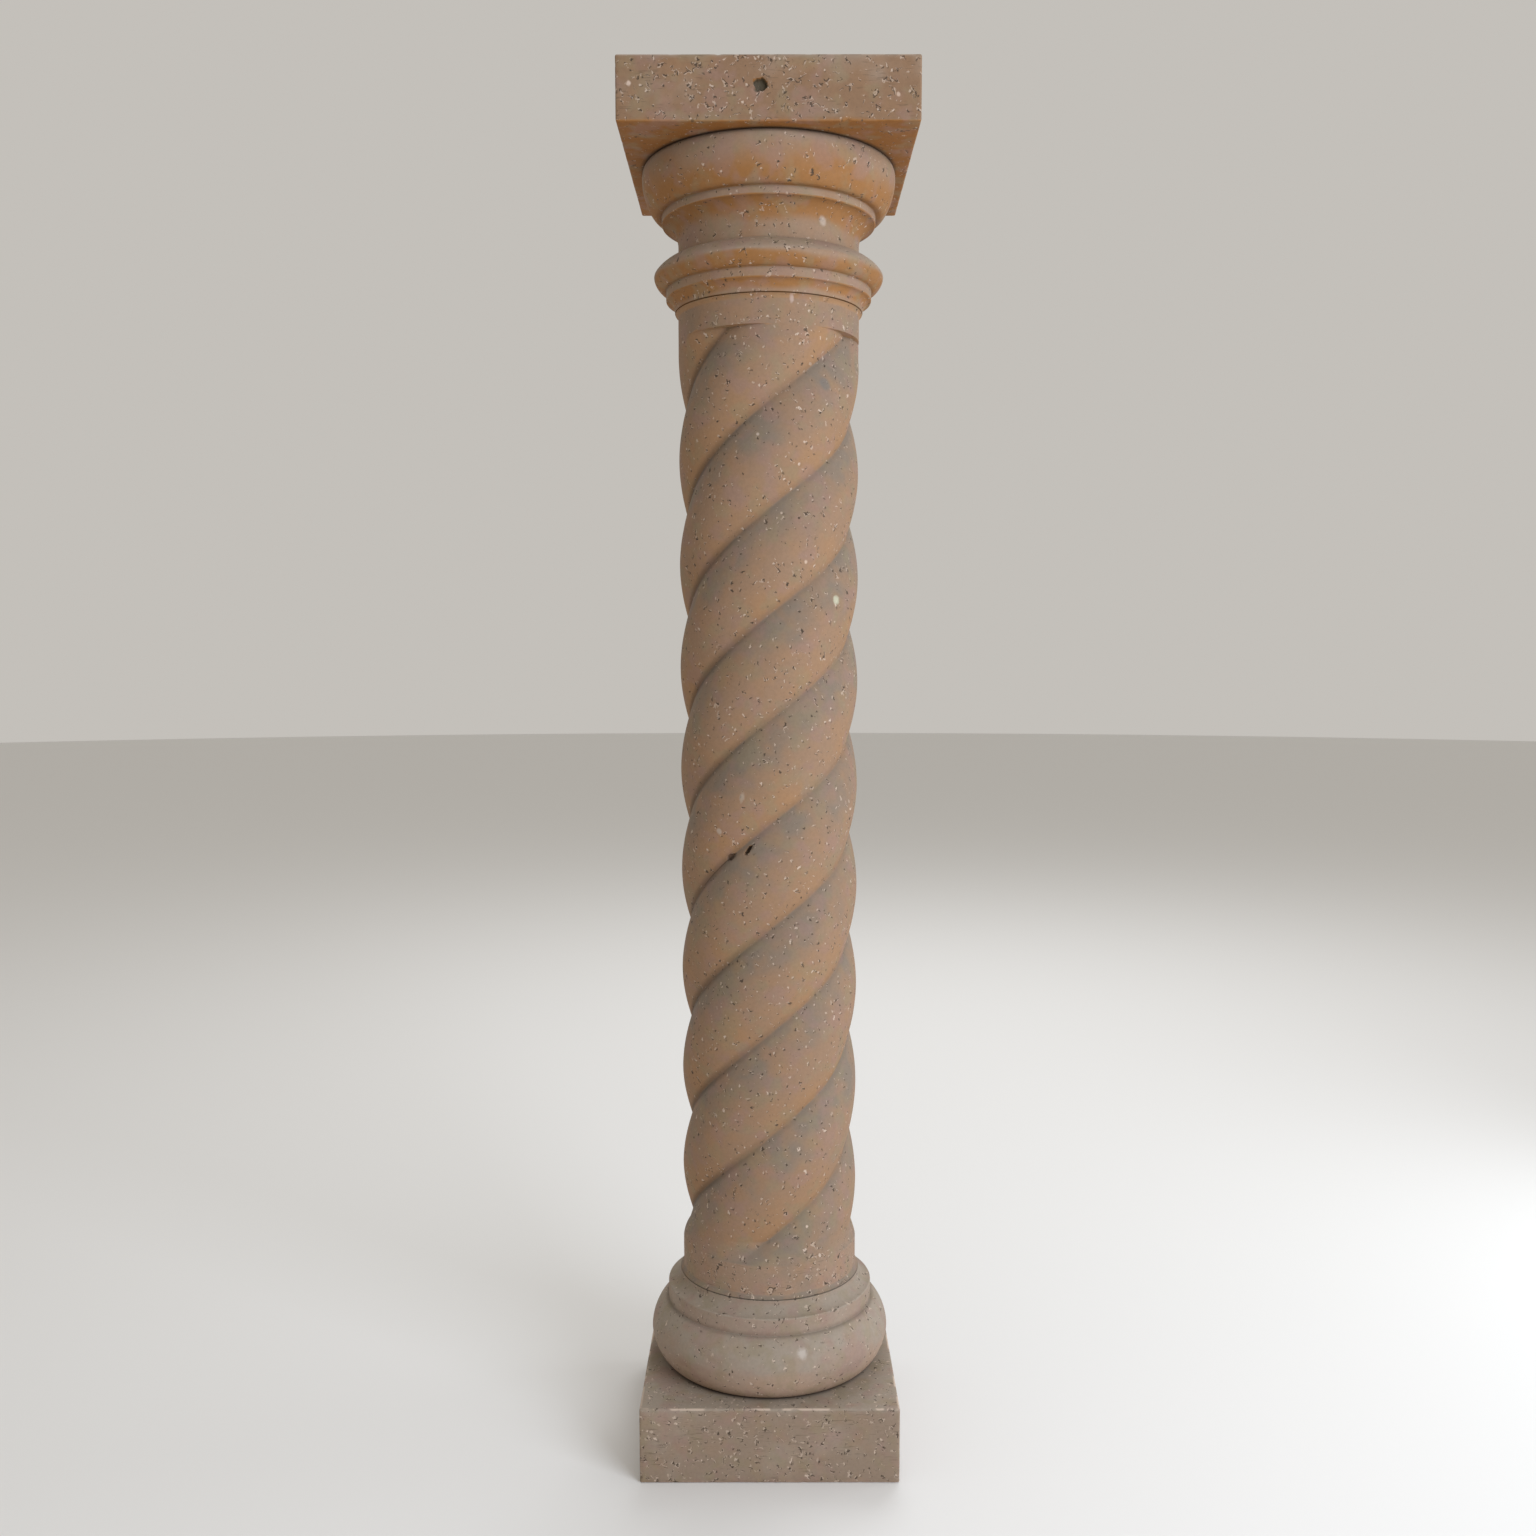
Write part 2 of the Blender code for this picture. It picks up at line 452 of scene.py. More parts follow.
class Wiring:
    """Adds nodes to a node tree and joins them. A value may be a number or an output.

    Args:
        tree: the tree of a material or of a node group.
    """

    def __init__(self, tree: bpy.types.NodeTree) -> None:
        """Keep the tree that the nodes go in."""
        self.tree = tree

    def node(self, kind: str, *values: object, **settings: object) -> bpy.types.Node:
        """Add a node.

        Args:
            kind: its type.
            values: what its first inputs are fed, in order.
            settings: its properties.

        Returns:
            The node.
        """
        made = self.tree.nodes.new(kind)
        for name, value in settings.items():
            setattr(made, name, value)
        for socket, value in zip(made.inputs, values):
            self.feed(socket, value)
        return made

    def feed(self, socket: Socket, value: object) -> None:
        """Link a value to an input if it is an output, or else set it there.

        Args:
            socket: the input.
            value: an output, a number, a vector or a colour.
        """
        if isinstance(value, Socket):
            self.tree.links.new(value, socket)
        elif isinstance(value, tuple) and socket.type == "RGBA":
            socket.default_value = (*value, 1.0)
        else:
            socket.default_value = value

    def maths(self, operation: str, *values: object, clamp: bool = False) -> Socket:
        """Return the result of a Math node."""
        made = self.node("ShaderNodeMath", *values, operation=operation, use_clamp=clamp)
        return made.outputs[0]

    def vector(self, operation: str, *values: object) -> Socket:
        """Return the vector result of a Vector Math node."""
        return self.node("ShaderNodeVectorMath", *values, operation=operation).outputs[0]

    def scaled(self, vector: object, factor: object) -> Socket:
        """Multiply a vector by a number.

        Args:
            vector: the vector.
            factor: the number.

        Returns:
            Their product.
        """
        made = self.node("ShaderNodeVectorMath", vector, operation="SCALE")
        self.feed(made.inputs["Scale"], factor)
        return made.outputs[0]

    def shifted(self, vector: object, by: float) -> Socket:
        """Return a vector moved aside, to read another part of a pattern."""
        return self.vector("ADD", vector, (by, 1.7 * by, 0.6 * by))

    def turned(self, vector: object, rotation: object) -> Socket:
        """Turn a vector.

        Args:
            vector: the vector.
            rotation: its turn about each axis, in radians.

        Returns:
            The turned vector.
        """
        made = self.node("ShaderNodeVectorRotate", vector, rotation_type="EULER_XYZ")
        self.feed(made.inputs["Rotation"], rotation)
        return made.outputs[0]

    def length(self, vector: object) -> Socket:
        """Return the length of a vector."""
        return self.node("ShaderNodeVectorMath", vector, operation="LENGTH").outputs["Value"]

    def span(self, value: object, low: object, high: object, *, start: float = 0.0,
             stop: float = 1.0) -> Socket:
        """Add a smooth step.

        Args:
            value: what it follows.
            low: the value where it begins.
            high: the value where it ends.
            start: what it gives up to low.
            stop: what it gives from high on.

        Returns:
            The step's result.
        """
        ends = (low, high, start, stop)
        made = self.node("ShaderNodeMapRange", value, *ends, interpolation_type="SMOOTHSTEP")
        return made.outputs[0]

    def blend(self, share: object, under: object, over: object) -> Socket:
        """Mix two colours.

        Args:
            share: how much of the second one.
            under: the first colour.
            over: the second colour.

        Returns:
            The mixed colour.
        """
        made = self.node("ShaderNodeMix", share, data_type="RGBA", blend_type="MIX")
        self.feed(made.inputs[6], under)
        self.feed(made.inputs[7], over)
        return made.outputs[2]

    def noise(self, vector: object, size: float, detail: float = 2.0, roughness: float = 0.5,
              output: str = "Fac") -> Socket:
        """Add noise.

        Args:
            vector: where it is read.
            size: the size of its waves, in metres.
            detail: how many finer waves lie on them.
            roughness: how strong those are.
            output: Fac for a value, Color for three.

        Returns:
            The noise, from about 0.3 to 0.7.
        """
        made = self.node("ShaderNodeTexNoise")
        values = {"Vector": vector, "Scale": 1.0 / size, "Detail": detail, "Roughness": roughness}
        for name, value in values.items():
            self.feed(made.inputs[name], value)
        return made.outputs[output]

    def up(self) -> Socket:
        """Return how much the surface faces up, from -1 to 1."""
        normal = self.node("ShaderNodeNewGeometry").outputs["Normal"]
        return self.node("ShaderNodeSeparateXYZ", normal).outputs[2]

    def mark(self, mark: Mark) -> Socket:
        """Return the value of a point attribute."""
        return self.node("ShaderNodeAttribute", attribute_name=mark.value).outputs["Fac"]

    def sawn_upright(self) -> Socket:
        """Return how much the place is on an upright sawn face, from 0 to 1."""
        upright = self.span(self.maths("ABSOLUTE", self.up()), 0.2, 0.5, start=1.0, stop=0.0)
        return self.maths("MULTIPLY", upright, self.mark(Mark.SAWN))


class ShaderGroup:
    """A node group with named sockets, built once.

    Args:
        name: the group's name.
        inputs: name, socket type and default value of each input.
        outputs: name and socket type of each output.
    """

    def __init__(self, name: str, inputs: list[tuple], outputs: list[tuple]) -> None:
        """Make the group's tree and its sockets.

        Args:
            name: the group's name.
            inputs: name, socket type and default value of each input.
            outputs: name and socket type of each output.
        """
        self.tree = bpy.data.node_groups.new(name, "ShaderNodeTree")
        for title, kind, default in inputs:
            socket = self.tree.interface.new_socket(title, in_out="INPUT", socket_type=kind)
            if default is not None:
                socket.default_value = default
        for title, kind in outputs:
            self.tree.interface.new_socket(title, in_out="OUTPUT", socket_type=kind)
        self.wiring = Wiring(self.tree)
        self.given = self.wiring.node("NodeGroupInput").outputs
        self.result = self.wiring.node("NodeGroupOutput").inputs

    def place(self, wiring: Wiring, **values: object) -> dict[str, Socket]:
        """Put the group in a tree.

        Args:
            wiring: the tree's wiring.
            values: the inputs' values, by name.

        Returns:
            The outputs, by name.
        """
        made = wiring.node("ShaderNodeGroup", node_tree=self.tree)
        for name, value in values.items():
            wiring.feed(made.inputs[name], value)
        return {socket.name: socket for socket in made.outputs}


VALUE, VECTOR = "NodeSocketFloat", "NodeSocketVector"


def grains_group() -> ShaderGroup:
    """Make the group for strewn grains, each long, turned at random and ragged.

    Returns:
        The group. Its mask is 1 inside a grain, and its tone differs from grain to grain.
    """
    raggedness, ragged_size = 1.7, 0.0021
    group = ShaderGroup(
        "Strewn grains",
        [
            ("Vector", VECTOR, None),
            ("Spacing", VALUE, 0.012),
            ("Size", VALUE, 0.002),
            ("Stretch", VALUE, 1.0),
            ("Share", VALUE, 0.5),
            ("Softness", VALUE, 0.25),
        ],
        [("Mask", VALUE), ("Tone", VALUE)],
    )
    w, given = group.wiring, group.given
    place = w.scaled(given["Vector"], w.maths("DIVIDE", 1.0, given["Spacing"]))
    cells = w.node("ShaderNodeTexVoronoi", voronoi_dimensions="3D", feature="F1")
    for name, value in {"Vector": place, "Scale": 1.0, "Randomness": 1.0}.items():
        w.feed(cells.inputs[name], value)
    chance = cells.outputs["Color"]
    apart = w.vector("SUBTRACT", place, cells.outputs["Position"])
    along, across, deep = w.node(
        "ShaderNodeSeparateXYZ", w.turned(apart, w.scaled(chance, 2 * math.pi))
    ).outputs
    along = w.maths("DIVIDE", along, given["Stretch"])
    squeezed = w.node("ShaderNodeCombineXYZ", along, across, deep).outputs[0]
    tone, larger, rare = w.node("ShaderNodeSeparateColor", chance).outputs
    far = w.maths("MULTIPLY", w.length(squeezed), given["Spacing"])
    ragged = w.maths("SUBTRACT", w.noise(given["Vector"], ragged_size, detail=1.0), 0.5)
    size = w.maths("MULTIPLY", given["Size"], w.maths("ADD", larger, 0.5))
    ragged = w.maths("MULTIPLY", ragged, raggedness)
    edge = w.maths("ADD", w.maths("DIVIDE", far, size), ragged)
    soft = w.maths("SUBTRACT", 1.0, given["Softness"])
    inside = w.span(edge, soft, 1.0, start=1.0, stop=0.0)
    there = w.maths("LESS_THAN", rare, given["Share"])
    w.feed(group.result["Mask"], w.maths("MULTIPLY", inside, there))
    w.feed(group.result["Tone"], tone)
    return group


def spot_group() -> ShaderGroup:
    """Make the group for one inclusion at a set place, with a ragged edge.

    Returns:
        The group. Its mask is 1 inside the inclusion.
    """
    raggedness, ragged_size = 0.5, 0.006
    group = ShaderGroup(
        "Set inclusion",
        [
            ("Vector", VECTOR, None),
            ("Centre", VECTOR, None),
            ("Turn", VECTOR, None),
            ("Reach", VECTOR, (0.01, 0.01, 0.01)),
            ("Softness", VALUE, 0.3),
        ],
        [("Mask", VALUE)],
    )
    w, given = group.wiring, group.given
    apart = w.vector("SUBTRACT", given["Vector"], given["Centre"])
    far = w.length(w.vector("DIVIDE", w.turned(apart, given["Turn"]), given["Reach"]))
    ragged = w.maths("MULTIPLY", w.noise(given["Vector"], ragged_size), raggedness)
    edge = w.maths("ADD", w.maths("SUBTRACT", far, raggedness / 2), ragged)
    soft = w.maths("SUBTRACT", 1.0, given["Softness"])
    w.feed(group.result["Mask"], w.span(edge, soft, 1.0, start=1.0, stop=0.0))
    return group


@dataclass(frozen=True)
class Inclusion:
    """A pebble or fleck that shows at one place.

    Args:
        place: its middle.
        reach: half its size along each axis before it is turned.
        lean: its turn about the line of sight, in radians.
        tint: its colour.
        strength: how much it covers the stone.
        softness: how wide its edge is, as a share of its size.
    """

    place: Vector
    reach: Vector
    lean: float
    tint: Colour
    strength: float = 0.8
    softness: float = 0.3

    def over(self, w: Wiring, place: Socket, spots: ShaderGroup, colour: Socket) -> Socket:
        """Lay the inclusion over the stone.

        Args:
            w: the material's wiring.
            place: where the surface is.
            spots: the group for set inclusions.
            colour: the stone's colour.

        Returns:
            The colour with the inclusion.
        """
        turn = Vector((0.0, self.lean, 0.0))
        found = spots.place(w, Vector=place, Centre=self.place, Reach=self.reach, Turn=turn,
                            Softness=self.softness)
        return w.blend(w.maths("MULTIPLY", found["Mask"], self.strength), colour, self.tint)


@dataclass(frozen=True)
class Cloud:
    """A kind of soft cloud in the stone.

    Args:
        tint: its colour.
        strength: how much it covers the stone, from 0 to 1.
        shift: moves its pattern aside from the other kinds'.
        size: about how large one is.
        starts: the noise at which it starts to show.
        full: the noise at which it is at its strongest.
        detail: how broken its outline is.
    """

    tint: Colour
    strength: float
    shift: float
    size: float
    starts: float = 0.50
    full: float = 0.66
    detail: float = 2.0

    def over(self, w: Wiring, place: Socket, colour: Socket) -> Socket:
        """Lay the clouds over the stone.

        Args:
            w: the material's wiring.
            place: where the surface is.
            colour: the stone's colour.

        Returns:
            The colour with the clouds.
        """
        found = w.noise(w.shifted(place, self.shift), self.size, detail=self.detail)
        share = w.span(found, self.starts, self.full, stop=self.strength)
        return w.blend(share, colour, self.tint)


@dataclass(frozen=True)
class Grain:
    """A kind of strewn grain: a pale fleck with a small dark pit beside it.

    Args:
        shift: moves its pattern aside from the other kinds'.
        spacing: about how far apart its places are.
        size: half its width.
        stretch: how many times as long as wide it is.
        share: how many of its places have a grain, from 0 to 1.
        sawn_more: how much more that is on upright sawn faces.
        pale: how strong the palest fleck is, from 0 to 1.
        deep: how dark the darkest pit is, from 0 to 1.
    """

    shift: float
    spacing: float
    size: float
    stretch: float
    share: float
    sawn_more: float
    pale: float
    deep: float
    softness: ClassVar[float] = 0.45

    def masks(self, w: Wiring, bent: Socket, sawn: Socket,
              grains: ShaderGroup) -> tuple[Socket, Socket]:
        """Strew the grains.

        Args:
            w: the material's wiring.
            bent: where they are looked up.
            sawn: how much the place is on an upright sawn face.
            grains: the group for strewn grains.

        Returns:
            The masks of the flecks and of the pits.
        """
        share = w.maths("ADD", self.share, w.maths("MULTIPLY", sawn, self.sawn_more))
        place = w.shifted(bent, self.shift)
        gap = 1.5 * self.size
        beside = w.vector("ADD", place, (-gap, 0.0, gap))
        fleck, pit = (
            grains.place(w, Vector=where, Spacing=self.spacing, Size=self.size,
                         Stretch=self.stretch, Softness=self.softness, Share=share)
            for where in (place, beside)
        )
        pale = w.span(fleck["Tone"], 0.1, 0.9, start=0.2, stop=self.pale)
        dark = w.span(pit["Tone"], 0.3, 0.9, start=self.deep, stop=0.35)
        return w.maths("MULTIPLY", fleck["Mask"], pale), w.maths("MULTIPLY", pit["Mask"], dark)


@dataclass(frozen=True)
class Stroke:
    """A kind of short bent stroke, a pale one with a dark one beside it.

    Args:
        shift: moves its pattern aside from the other kinds'.
        length: about how long it is.
        rarity: how rare it is on rubbed faces, as a level of noise.
        sawn_rarity: how rare it is on upright sawn faces.
        apart: how far its pale and its dark line are apart, as a level of noise.
    """

    shift: float
    length: float
    rarity: float = 0.735
    sawn_rarity: float = 0.660
    apart: float = 0.052

    def masks(self, w: Wiring, bent: Socket, sawn: Socket) -> list[Socket]:
        """Draw the strokes, which lie thickest on sawn faces.

        Args:
            w: the material's wiring.
            bent: where they are looked up.
            sawn: how much the place is on an upright sawn face.

        Returns:
            The masks of the pale lines and of the dark ones.
        """
        place = w.shifted(bent, self.shift)
        level = w.maths("SUBTRACT", w.noise(place, self.length, detail=1.0), 0.5)
        patch = w.noise(w.shifted(place, 1.1), 0.8 * self.length, detail=0.0)
        least = w.span(sawn, 0.0, 1.0, start=self.rarity, stop=self.sawn_rarity)
        some = w.span(w.maths("SUBTRACT", patch, least), 0.0, 0.015)
        masks = []
        for middle in (0.0, self.apart):
            off = w.maths("ABSOLUTE", w.maths("SUBTRACT", level, middle))
            line = w.span(off, 0.010, 0.030, start=1.0, stop=0.0)
            masks.append(w.maths("MULTIPLY", line, some))
        return masks


GRAINS = (
    Grain(0.00, 0.0135, 0.0019, 2.2, 0.32, -0.06, 0.90, 0.95),
    Grain(0.47, 0.0102, 0.0014, 2.6, 0.34, -0.04, 0.75, 0.90),
)
STROKES = (Stroke(0.0, 0.0165), Stroke(2.7, 0.0110))


@dataclass(frozen=True)
class StoneFinish:
    """Rubbed volcanic stone with soft clouds, pale flecks, short strokes and small dark pits,
    with light and shade painted by facing, in its creases and in its pits.

    Args:
        name: the material's name.
        body: what most of its rubbed faces have.
        sawn: what its sawn faces have.
        upper: what faces up has, a greyer tint that is painted light and shade.
        under: what faces down has, a warmer tint that is painted warm bounce light.
        soffit_painted_shade: the painted shade on its sawn undersides.
        rose: its pink clouds.
        moss: its olive clouds.
        ochre: its small orange clouds.
        cream: its flecks and worn arrises.
        dark: its pits.
        painted_shade_and_dirt: what gathers in its creases.
        broken: the painted shade inside its pits.
        tawny: how strong its small orange clouds are, from 0 to 1.
        edge_wear: how pale its arrises are worn, from 0 to 1.
        inclusions: the pebbles that show at set places.
    """

    name: str
    body: Colour
    sawn: Colour
    upper: Colour
    under: Colour
    soffit_painted_shade: Colour = (0.266, 0.104, 0.021)
    rose: Colour = (0.292, 0.178, 0.150)
    moss: Colour = (0.250, 0.203, 0.118)
    ochre: Colour = (0.345, 0.190, 0.092)
    cream: Colour = (0.560, 0.440, 0.350)
    dark: Colour = (0.060, 0.040, 0.026)
    painted_shade_and_dirt: Colour = (0.058, 0.036, 0.022)
    broken: Colour = (0.058, 0.036, 0.022)
    tawny: float = 0.28
    edge_wear: float = 0.5
    inclusions: tuple[Inclusion, ...] = ()

    # How far and over what length grains bend, and how high the surface rises, in metres.
    bend: ClassVar[float] = 0.012
    bend_size: ClassVar[float] = 1 / 110
    grain_relief: ClassVar[float] = 0.00008
    mottle_relief: ClassVar[float] = 0.00022
    pit_relief: ClassVar[float] = 0.0009

    def material(self, grains: ShaderGroup, spots: ShaderGroup) -> bpy.types.Material:
        """Build the material.

        Args:
            grains: the group for strewn grains.
            spots: the group for set inclusions.

        Returns:
            The material, its colours and relief joined to its Principled shader.
        """
        material = bpy.data.materials.new(self.name)
        material.use_nodes = True
        shader = material.node_tree.nodes["Principled BSDF"]
        w = Wiring(material.node_tree)
        place = w.node("ShaderNodeTexCoord").outputs["Object"]
        mottle = w.noise(place, 0.006, detail=3.0, roughness=0.6)
        grain = w.noise(place, 0.0016, detail=3.0, roughness=0.65)

        colour = self.clouded(w, place)
        colour = w.blend(w.span(mottle, 0.38, 0.66, stop=0.08), colour, self.dark)
        colour = self.tooled(w, place, colour)
        colour, hollow = self.strewn(w, self.bent(w, place), grains, colour)
        for inclusion in self.inclusions:
            colour = inclusion.over(w, place, spots, colour)
        w.feed(shader.inputs["Base Color"], self.worn(w, place, colour))
        w.feed(shader.inputs["Roughness"], w.span(grain, 0.3, 0.7, start=0.70, stop=0.86))
        w.feed(shader.inputs["Specular IOR Level"], 0.3)
        w.feed(shader.inputs["Normal"], self.relief(w, grain, mottle, hollow))
        return material

    def relief(self, w: Wiring, grain: Socket, mottle: Socket, hollow: Socket) -> Socket:
        """Raise the grain and the mottle, and sink the pits.

        Args:
            w: the material's wiring.
            grain: the noise of the grain.
            mottle: the noise of the mottle.
            hollow: the mask of the pits.

        Returns:
            The normal of the rough surface.
        """
        height = w.maths("MULTIPLY", grain, self.grain_relief)
        height = w.maths("ADD", height, w.maths("MULTIPLY", mottle, self.mottle_relief))
        height = w.maths("SUBTRACT", height, w.maths("MULTIPLY", hollow, self.pit_relief))
        bump = w.node("ShaderNodeBump")
        for name, value in {"Strength": 0.7, "Distance": 1.0, "Height": height}.items():
            w.feed(bump.inputs[name], value)
        return bump.outputs[0]

    def clouded(self, w: Wiring, place: Socket) -> Socket:
        """Mix the soft clouds of the stone, and paint light and shade by facing: greyer where it
        faces up, warmer where down as painted bounce light, darker on sawn undersides as painted
        shade.

        Args:
            w: the material's wiring.
            place: where the surface is.

        Returns:
            The stone's colour.
        """
        up, sawn = w.up(), w.mark(Mark.SAWN)
        broad = w.maths("SUBTRACT", w.noise(place, 0.12), 0.5)
        patch = w.maths("SUBTRACT", w.noise(w.shifted(place, 0.4), 0.055), 0.5)
        upward_shade_share = w.maths("ADD", up, w.maths("MULTIPLY", w.maths("ADD", patch, broad), 0.9))
        downward_bounce_share = w.maths("SUBTRACT", w.maths("MULTIPLY", broad, 1.1), up)
        below = w.span(up, -0.9, -0.6, start=0.9, stop=0.0)
        colour = w.blend(sawn, self.body, self.sawn)
        # Painted light and shade by facing: upward faces greyer, downward faces warmer as painted
        # warm bounce light, sawn undersides darker as painted shade.
        colour = w.blend(w.span(upward_shade_share, -0.08, 0.44, stop=0.95), colour, self.upper)
        colour = w.blend(w.span(downward_bounce_share, 0.00, 0.54, stop=0.95), colour, self.under)
        colour = w.blend(w.maths("MULTIPLY", below, sawn), colour, self.soffit_painted_shade)
        for cloud in (
            Cloud(self.rose, 0.38, 0.8, 0.045),
            Cloud(self.moss, 0.36, 1.3, 0.038),
            Cloud(self.ochre, self.tawny, 1.9, 0.034, starts=0.46, full=0.74, detail=1.0),
        ):
            colour = cloud.over(w, place, colour)
        return colour

    def tooled(self, w: Wiring, place: Socket, colour: Socket) -> Socket:
        """Draw the short level marks of the saw.

        Args:
            w: the material's wiring.
            place: where the surface is.
            colour: the stone's colour.

        Returns:
            The colour with the marks.
        """
        level = w.vector("MULTIPLY", place, (1.0, 1.0, 9.0))
        marks = w.span(w.noise(level, 0.020, detail=1.0), 0.62, 0.70)
        some = w.span(w.noise(w.shifted(place, 2.1), 0.04), 0.45, 0.62)
        share = w.maths("MULTIPLY", w.maths("MULTIPLY", marks, some), w.sawn_upright())
        return w.blend(w.maths("MULTIPLY", share, 0.35), colour, self.dark)

    def strewn(self, w: Wiring, bent: Socket, grains: ShaderGroup,
               colour: Socket) -> tuple[Socket, Socket]:
        """Strew flecks and strokes, each with a small pit or a dark line beside it.

        Args:
            w: the material's wiring.
            bent: where they are looked up.
            grains: the group for strewn grains.
            colour: the stone's colour.

        Returns:
            The colour, and a mask of what is hollow.
        """
        sawn = w.sawn_upright()
        hollow: Socket | float = 0.0
        for grain in GRAINS:
            pale, dark = grain.masks(w, bent, sawn, grains)
            colour = w.blend(pale, w.blend(dark, colour, self.dark), self.cream)
            hollow = w.maths("MAXIMUM", hollow, dark)
        for stroke in STROKES:
            pale, dark = stroke.masks(w, bent, sawn)
            colour = w.blend(w.maths("MULTIPLY", dark, 0.9), colour, self.dark)
            colour = w.blend(w.maths("MULTIPLY", pale, 0.48), colour, self.cream)
            hollow = w.maths("MAXIMUM", hollow, w.maths("MULTIPLY", dark, 0.7))
        return colour, hollow

    def worn(self, w: Wiring, place: Socket, colour: Socket) -> Socket:
        """Add the wear and the painted shade.

        Args:
            w: the material's wiring.
            place: where the surface is.
            colour: the stone's colour.

        Returns:
            The colour with pale worn arrises, painted shade in creases, grooves and pits, and
            dark joints and stains.
        """
        rubbed = w.span(w.noise(w.shifted(place, 3.3), 0.038, detail=1.0), 0.49, 0.55)
        upper = w.span(w.up(), 0.15, 0.45, start=0.12)
        rubbed = w.maths("MULTIPLY", rubbed, upper)
        rubbed = w.maths("MULTIPLY", rubbed, w.span(w.mark(Mark.ARRIS), 0.35, 0.8))
        colour = w.blend(w.maths("MULTIPLY", rubbed, self.edge_wear), colour, self.cream)
        # Painted shade in creases, grooves and pits, with the dark joint lines and stains.
        for mark, tint in ((Mark.SHELTER, self.painted_shade_and_dirt), (Mark.BROKEN, self.broken)):
            share = w.maths("MULTIPLY", w.mark(mark), 0.9, clamp=True)
            colour = w.blend(share, colour, tint)
        return colour

    def bent(self, w: Wiring, place: Socket) -> Socket:
        """Shift places a little, which bends grains out of straight.

        Args:
            w: the material's wiring.
            place: where the surface is.

        Returns:
            The shifted places.
        """
        wander = w.noise(place, self.bend_size, detail=3.0, roughness=0.62, output="Color")
        centred = w.vector("SUBTRACT", wander, (0.5, 0.5, 0.5))
        return w.vector("ADD", place, w.scaled(centred, self.bend))


@dataclass
class Slab:
    """A sawn square slab with worn arrises.

    Args:
        span: the box of its node, which gives its width.
        low: its underside.
        high: its top.
        arris: the radius of its edges.
        layers: how many faces it has in its height.
        worn_reach: how far from an arris it is worn, in radii of the arris.
        rubbed: how deep its arrises are rubbed all along.
        chip: how much deeper a chip is.
    """

    span: Span
    low: float
    high: float
    arris: float = 0.0035
    layers: int = 28
    worn_reach: float = 2.2
    rubbed: float = 0.0003
    chip: float = 0.0030

    @property
    def half(self) -> float:
        """Half its width."""
        return (self.span.high.x - self.span.low.x) / 2

    def build(self, bm: BMesh) -> None:
        """Add the slab to a mesh.

        Args:
            bm: the mesh, which holds nothing else yet.
        """
        size = Vector((2 * self.half, 2 * self.half, self.high - self.low))
        made = bmesh.ops.create_cube(bm, size=1.0)["verts"]
        bmesh.ops.scale(bm, vec=size, verts=made)
        bmesh.ops.translate(bm, vec=(0.0, 0.0, (self.low + self.high) / 2), verts=made)
        bmesh.ops.bevel(bm, geom=bm.edges[:], offset=self.arris, offset_type="OFFSET", segments=3,
                        profile=0.5, affect="EDGES", material=-1)
        for axis, cells in enumerate((CELLS_A_SIDE, CELLS_A_SIDE, self.layers)):
            nearly = 0.9 * (size[axis] - 2 * self.arris)
            long = [e for e in bm.edges if self.runs_along(e, axis) > nearly]
            bmesh.ops.subdivide_edges(bm, edges=long, cuts=cells - 1, use_grid_fill=True)

    @staticmethod
    def runs_along(edge: BMEdge, axis: int) -> float:
        """Return how far an edge goes along an axis."""
        return abs(edge.verts[0].co[axis] - edge.verts[1].co[axis])

    def open_face(self, bm: BMesh, z: float) -> list[BMEdge]:
        """Take away the flat face at a height.

        Args:
            bm: the mesh.
            z: the height.

        Returns:
            The edges round the hole.
        """
        inner = [f for f in bm.faces if all(abs(v.co.z - z) < WELD for v in f.verts)]
        bmesh.ops.delete(bm, geom=inner, context="FACES")
        return [e for e in bm.edges if e.is_boundary and abs(e.verts[0].co.z - z) < WELD]

    def arris_share(self, place: Vector) -> float:
        """Tell how close a place is to an arris.

        Args:
            place: a place on the slab.

        Returns:
            A share from 0, past the worn reach, to 1 at the arris.
        """
        up_or_down = min(abs(place.z - self.low), abs(self.high - place.z))
        gaps = sorted((self.half - abs(place.x), self.half - abs(place.y), up_or_down))
        return 1.0 - smooth_step(0.0, self.worn_reach * self.arris, gaps[1])

    def chipping(self, place: Vector) -> float:
        """Tell how deep the arris is chipped at a place.

        Args:
            place: a place on the slab.

        Returns:
            The depth, 0 away from the arrises.
        """
        share = self.arris_share(place)
        if share == 0.0:
            return 0.0
        rough = ripple(place, 0.017, 5.0) + 0.6 * ripple(place, 0.007, 9.0)
        return share * (self.rubbed + self.chip * smooth_step(0.55, 1.05, rough))


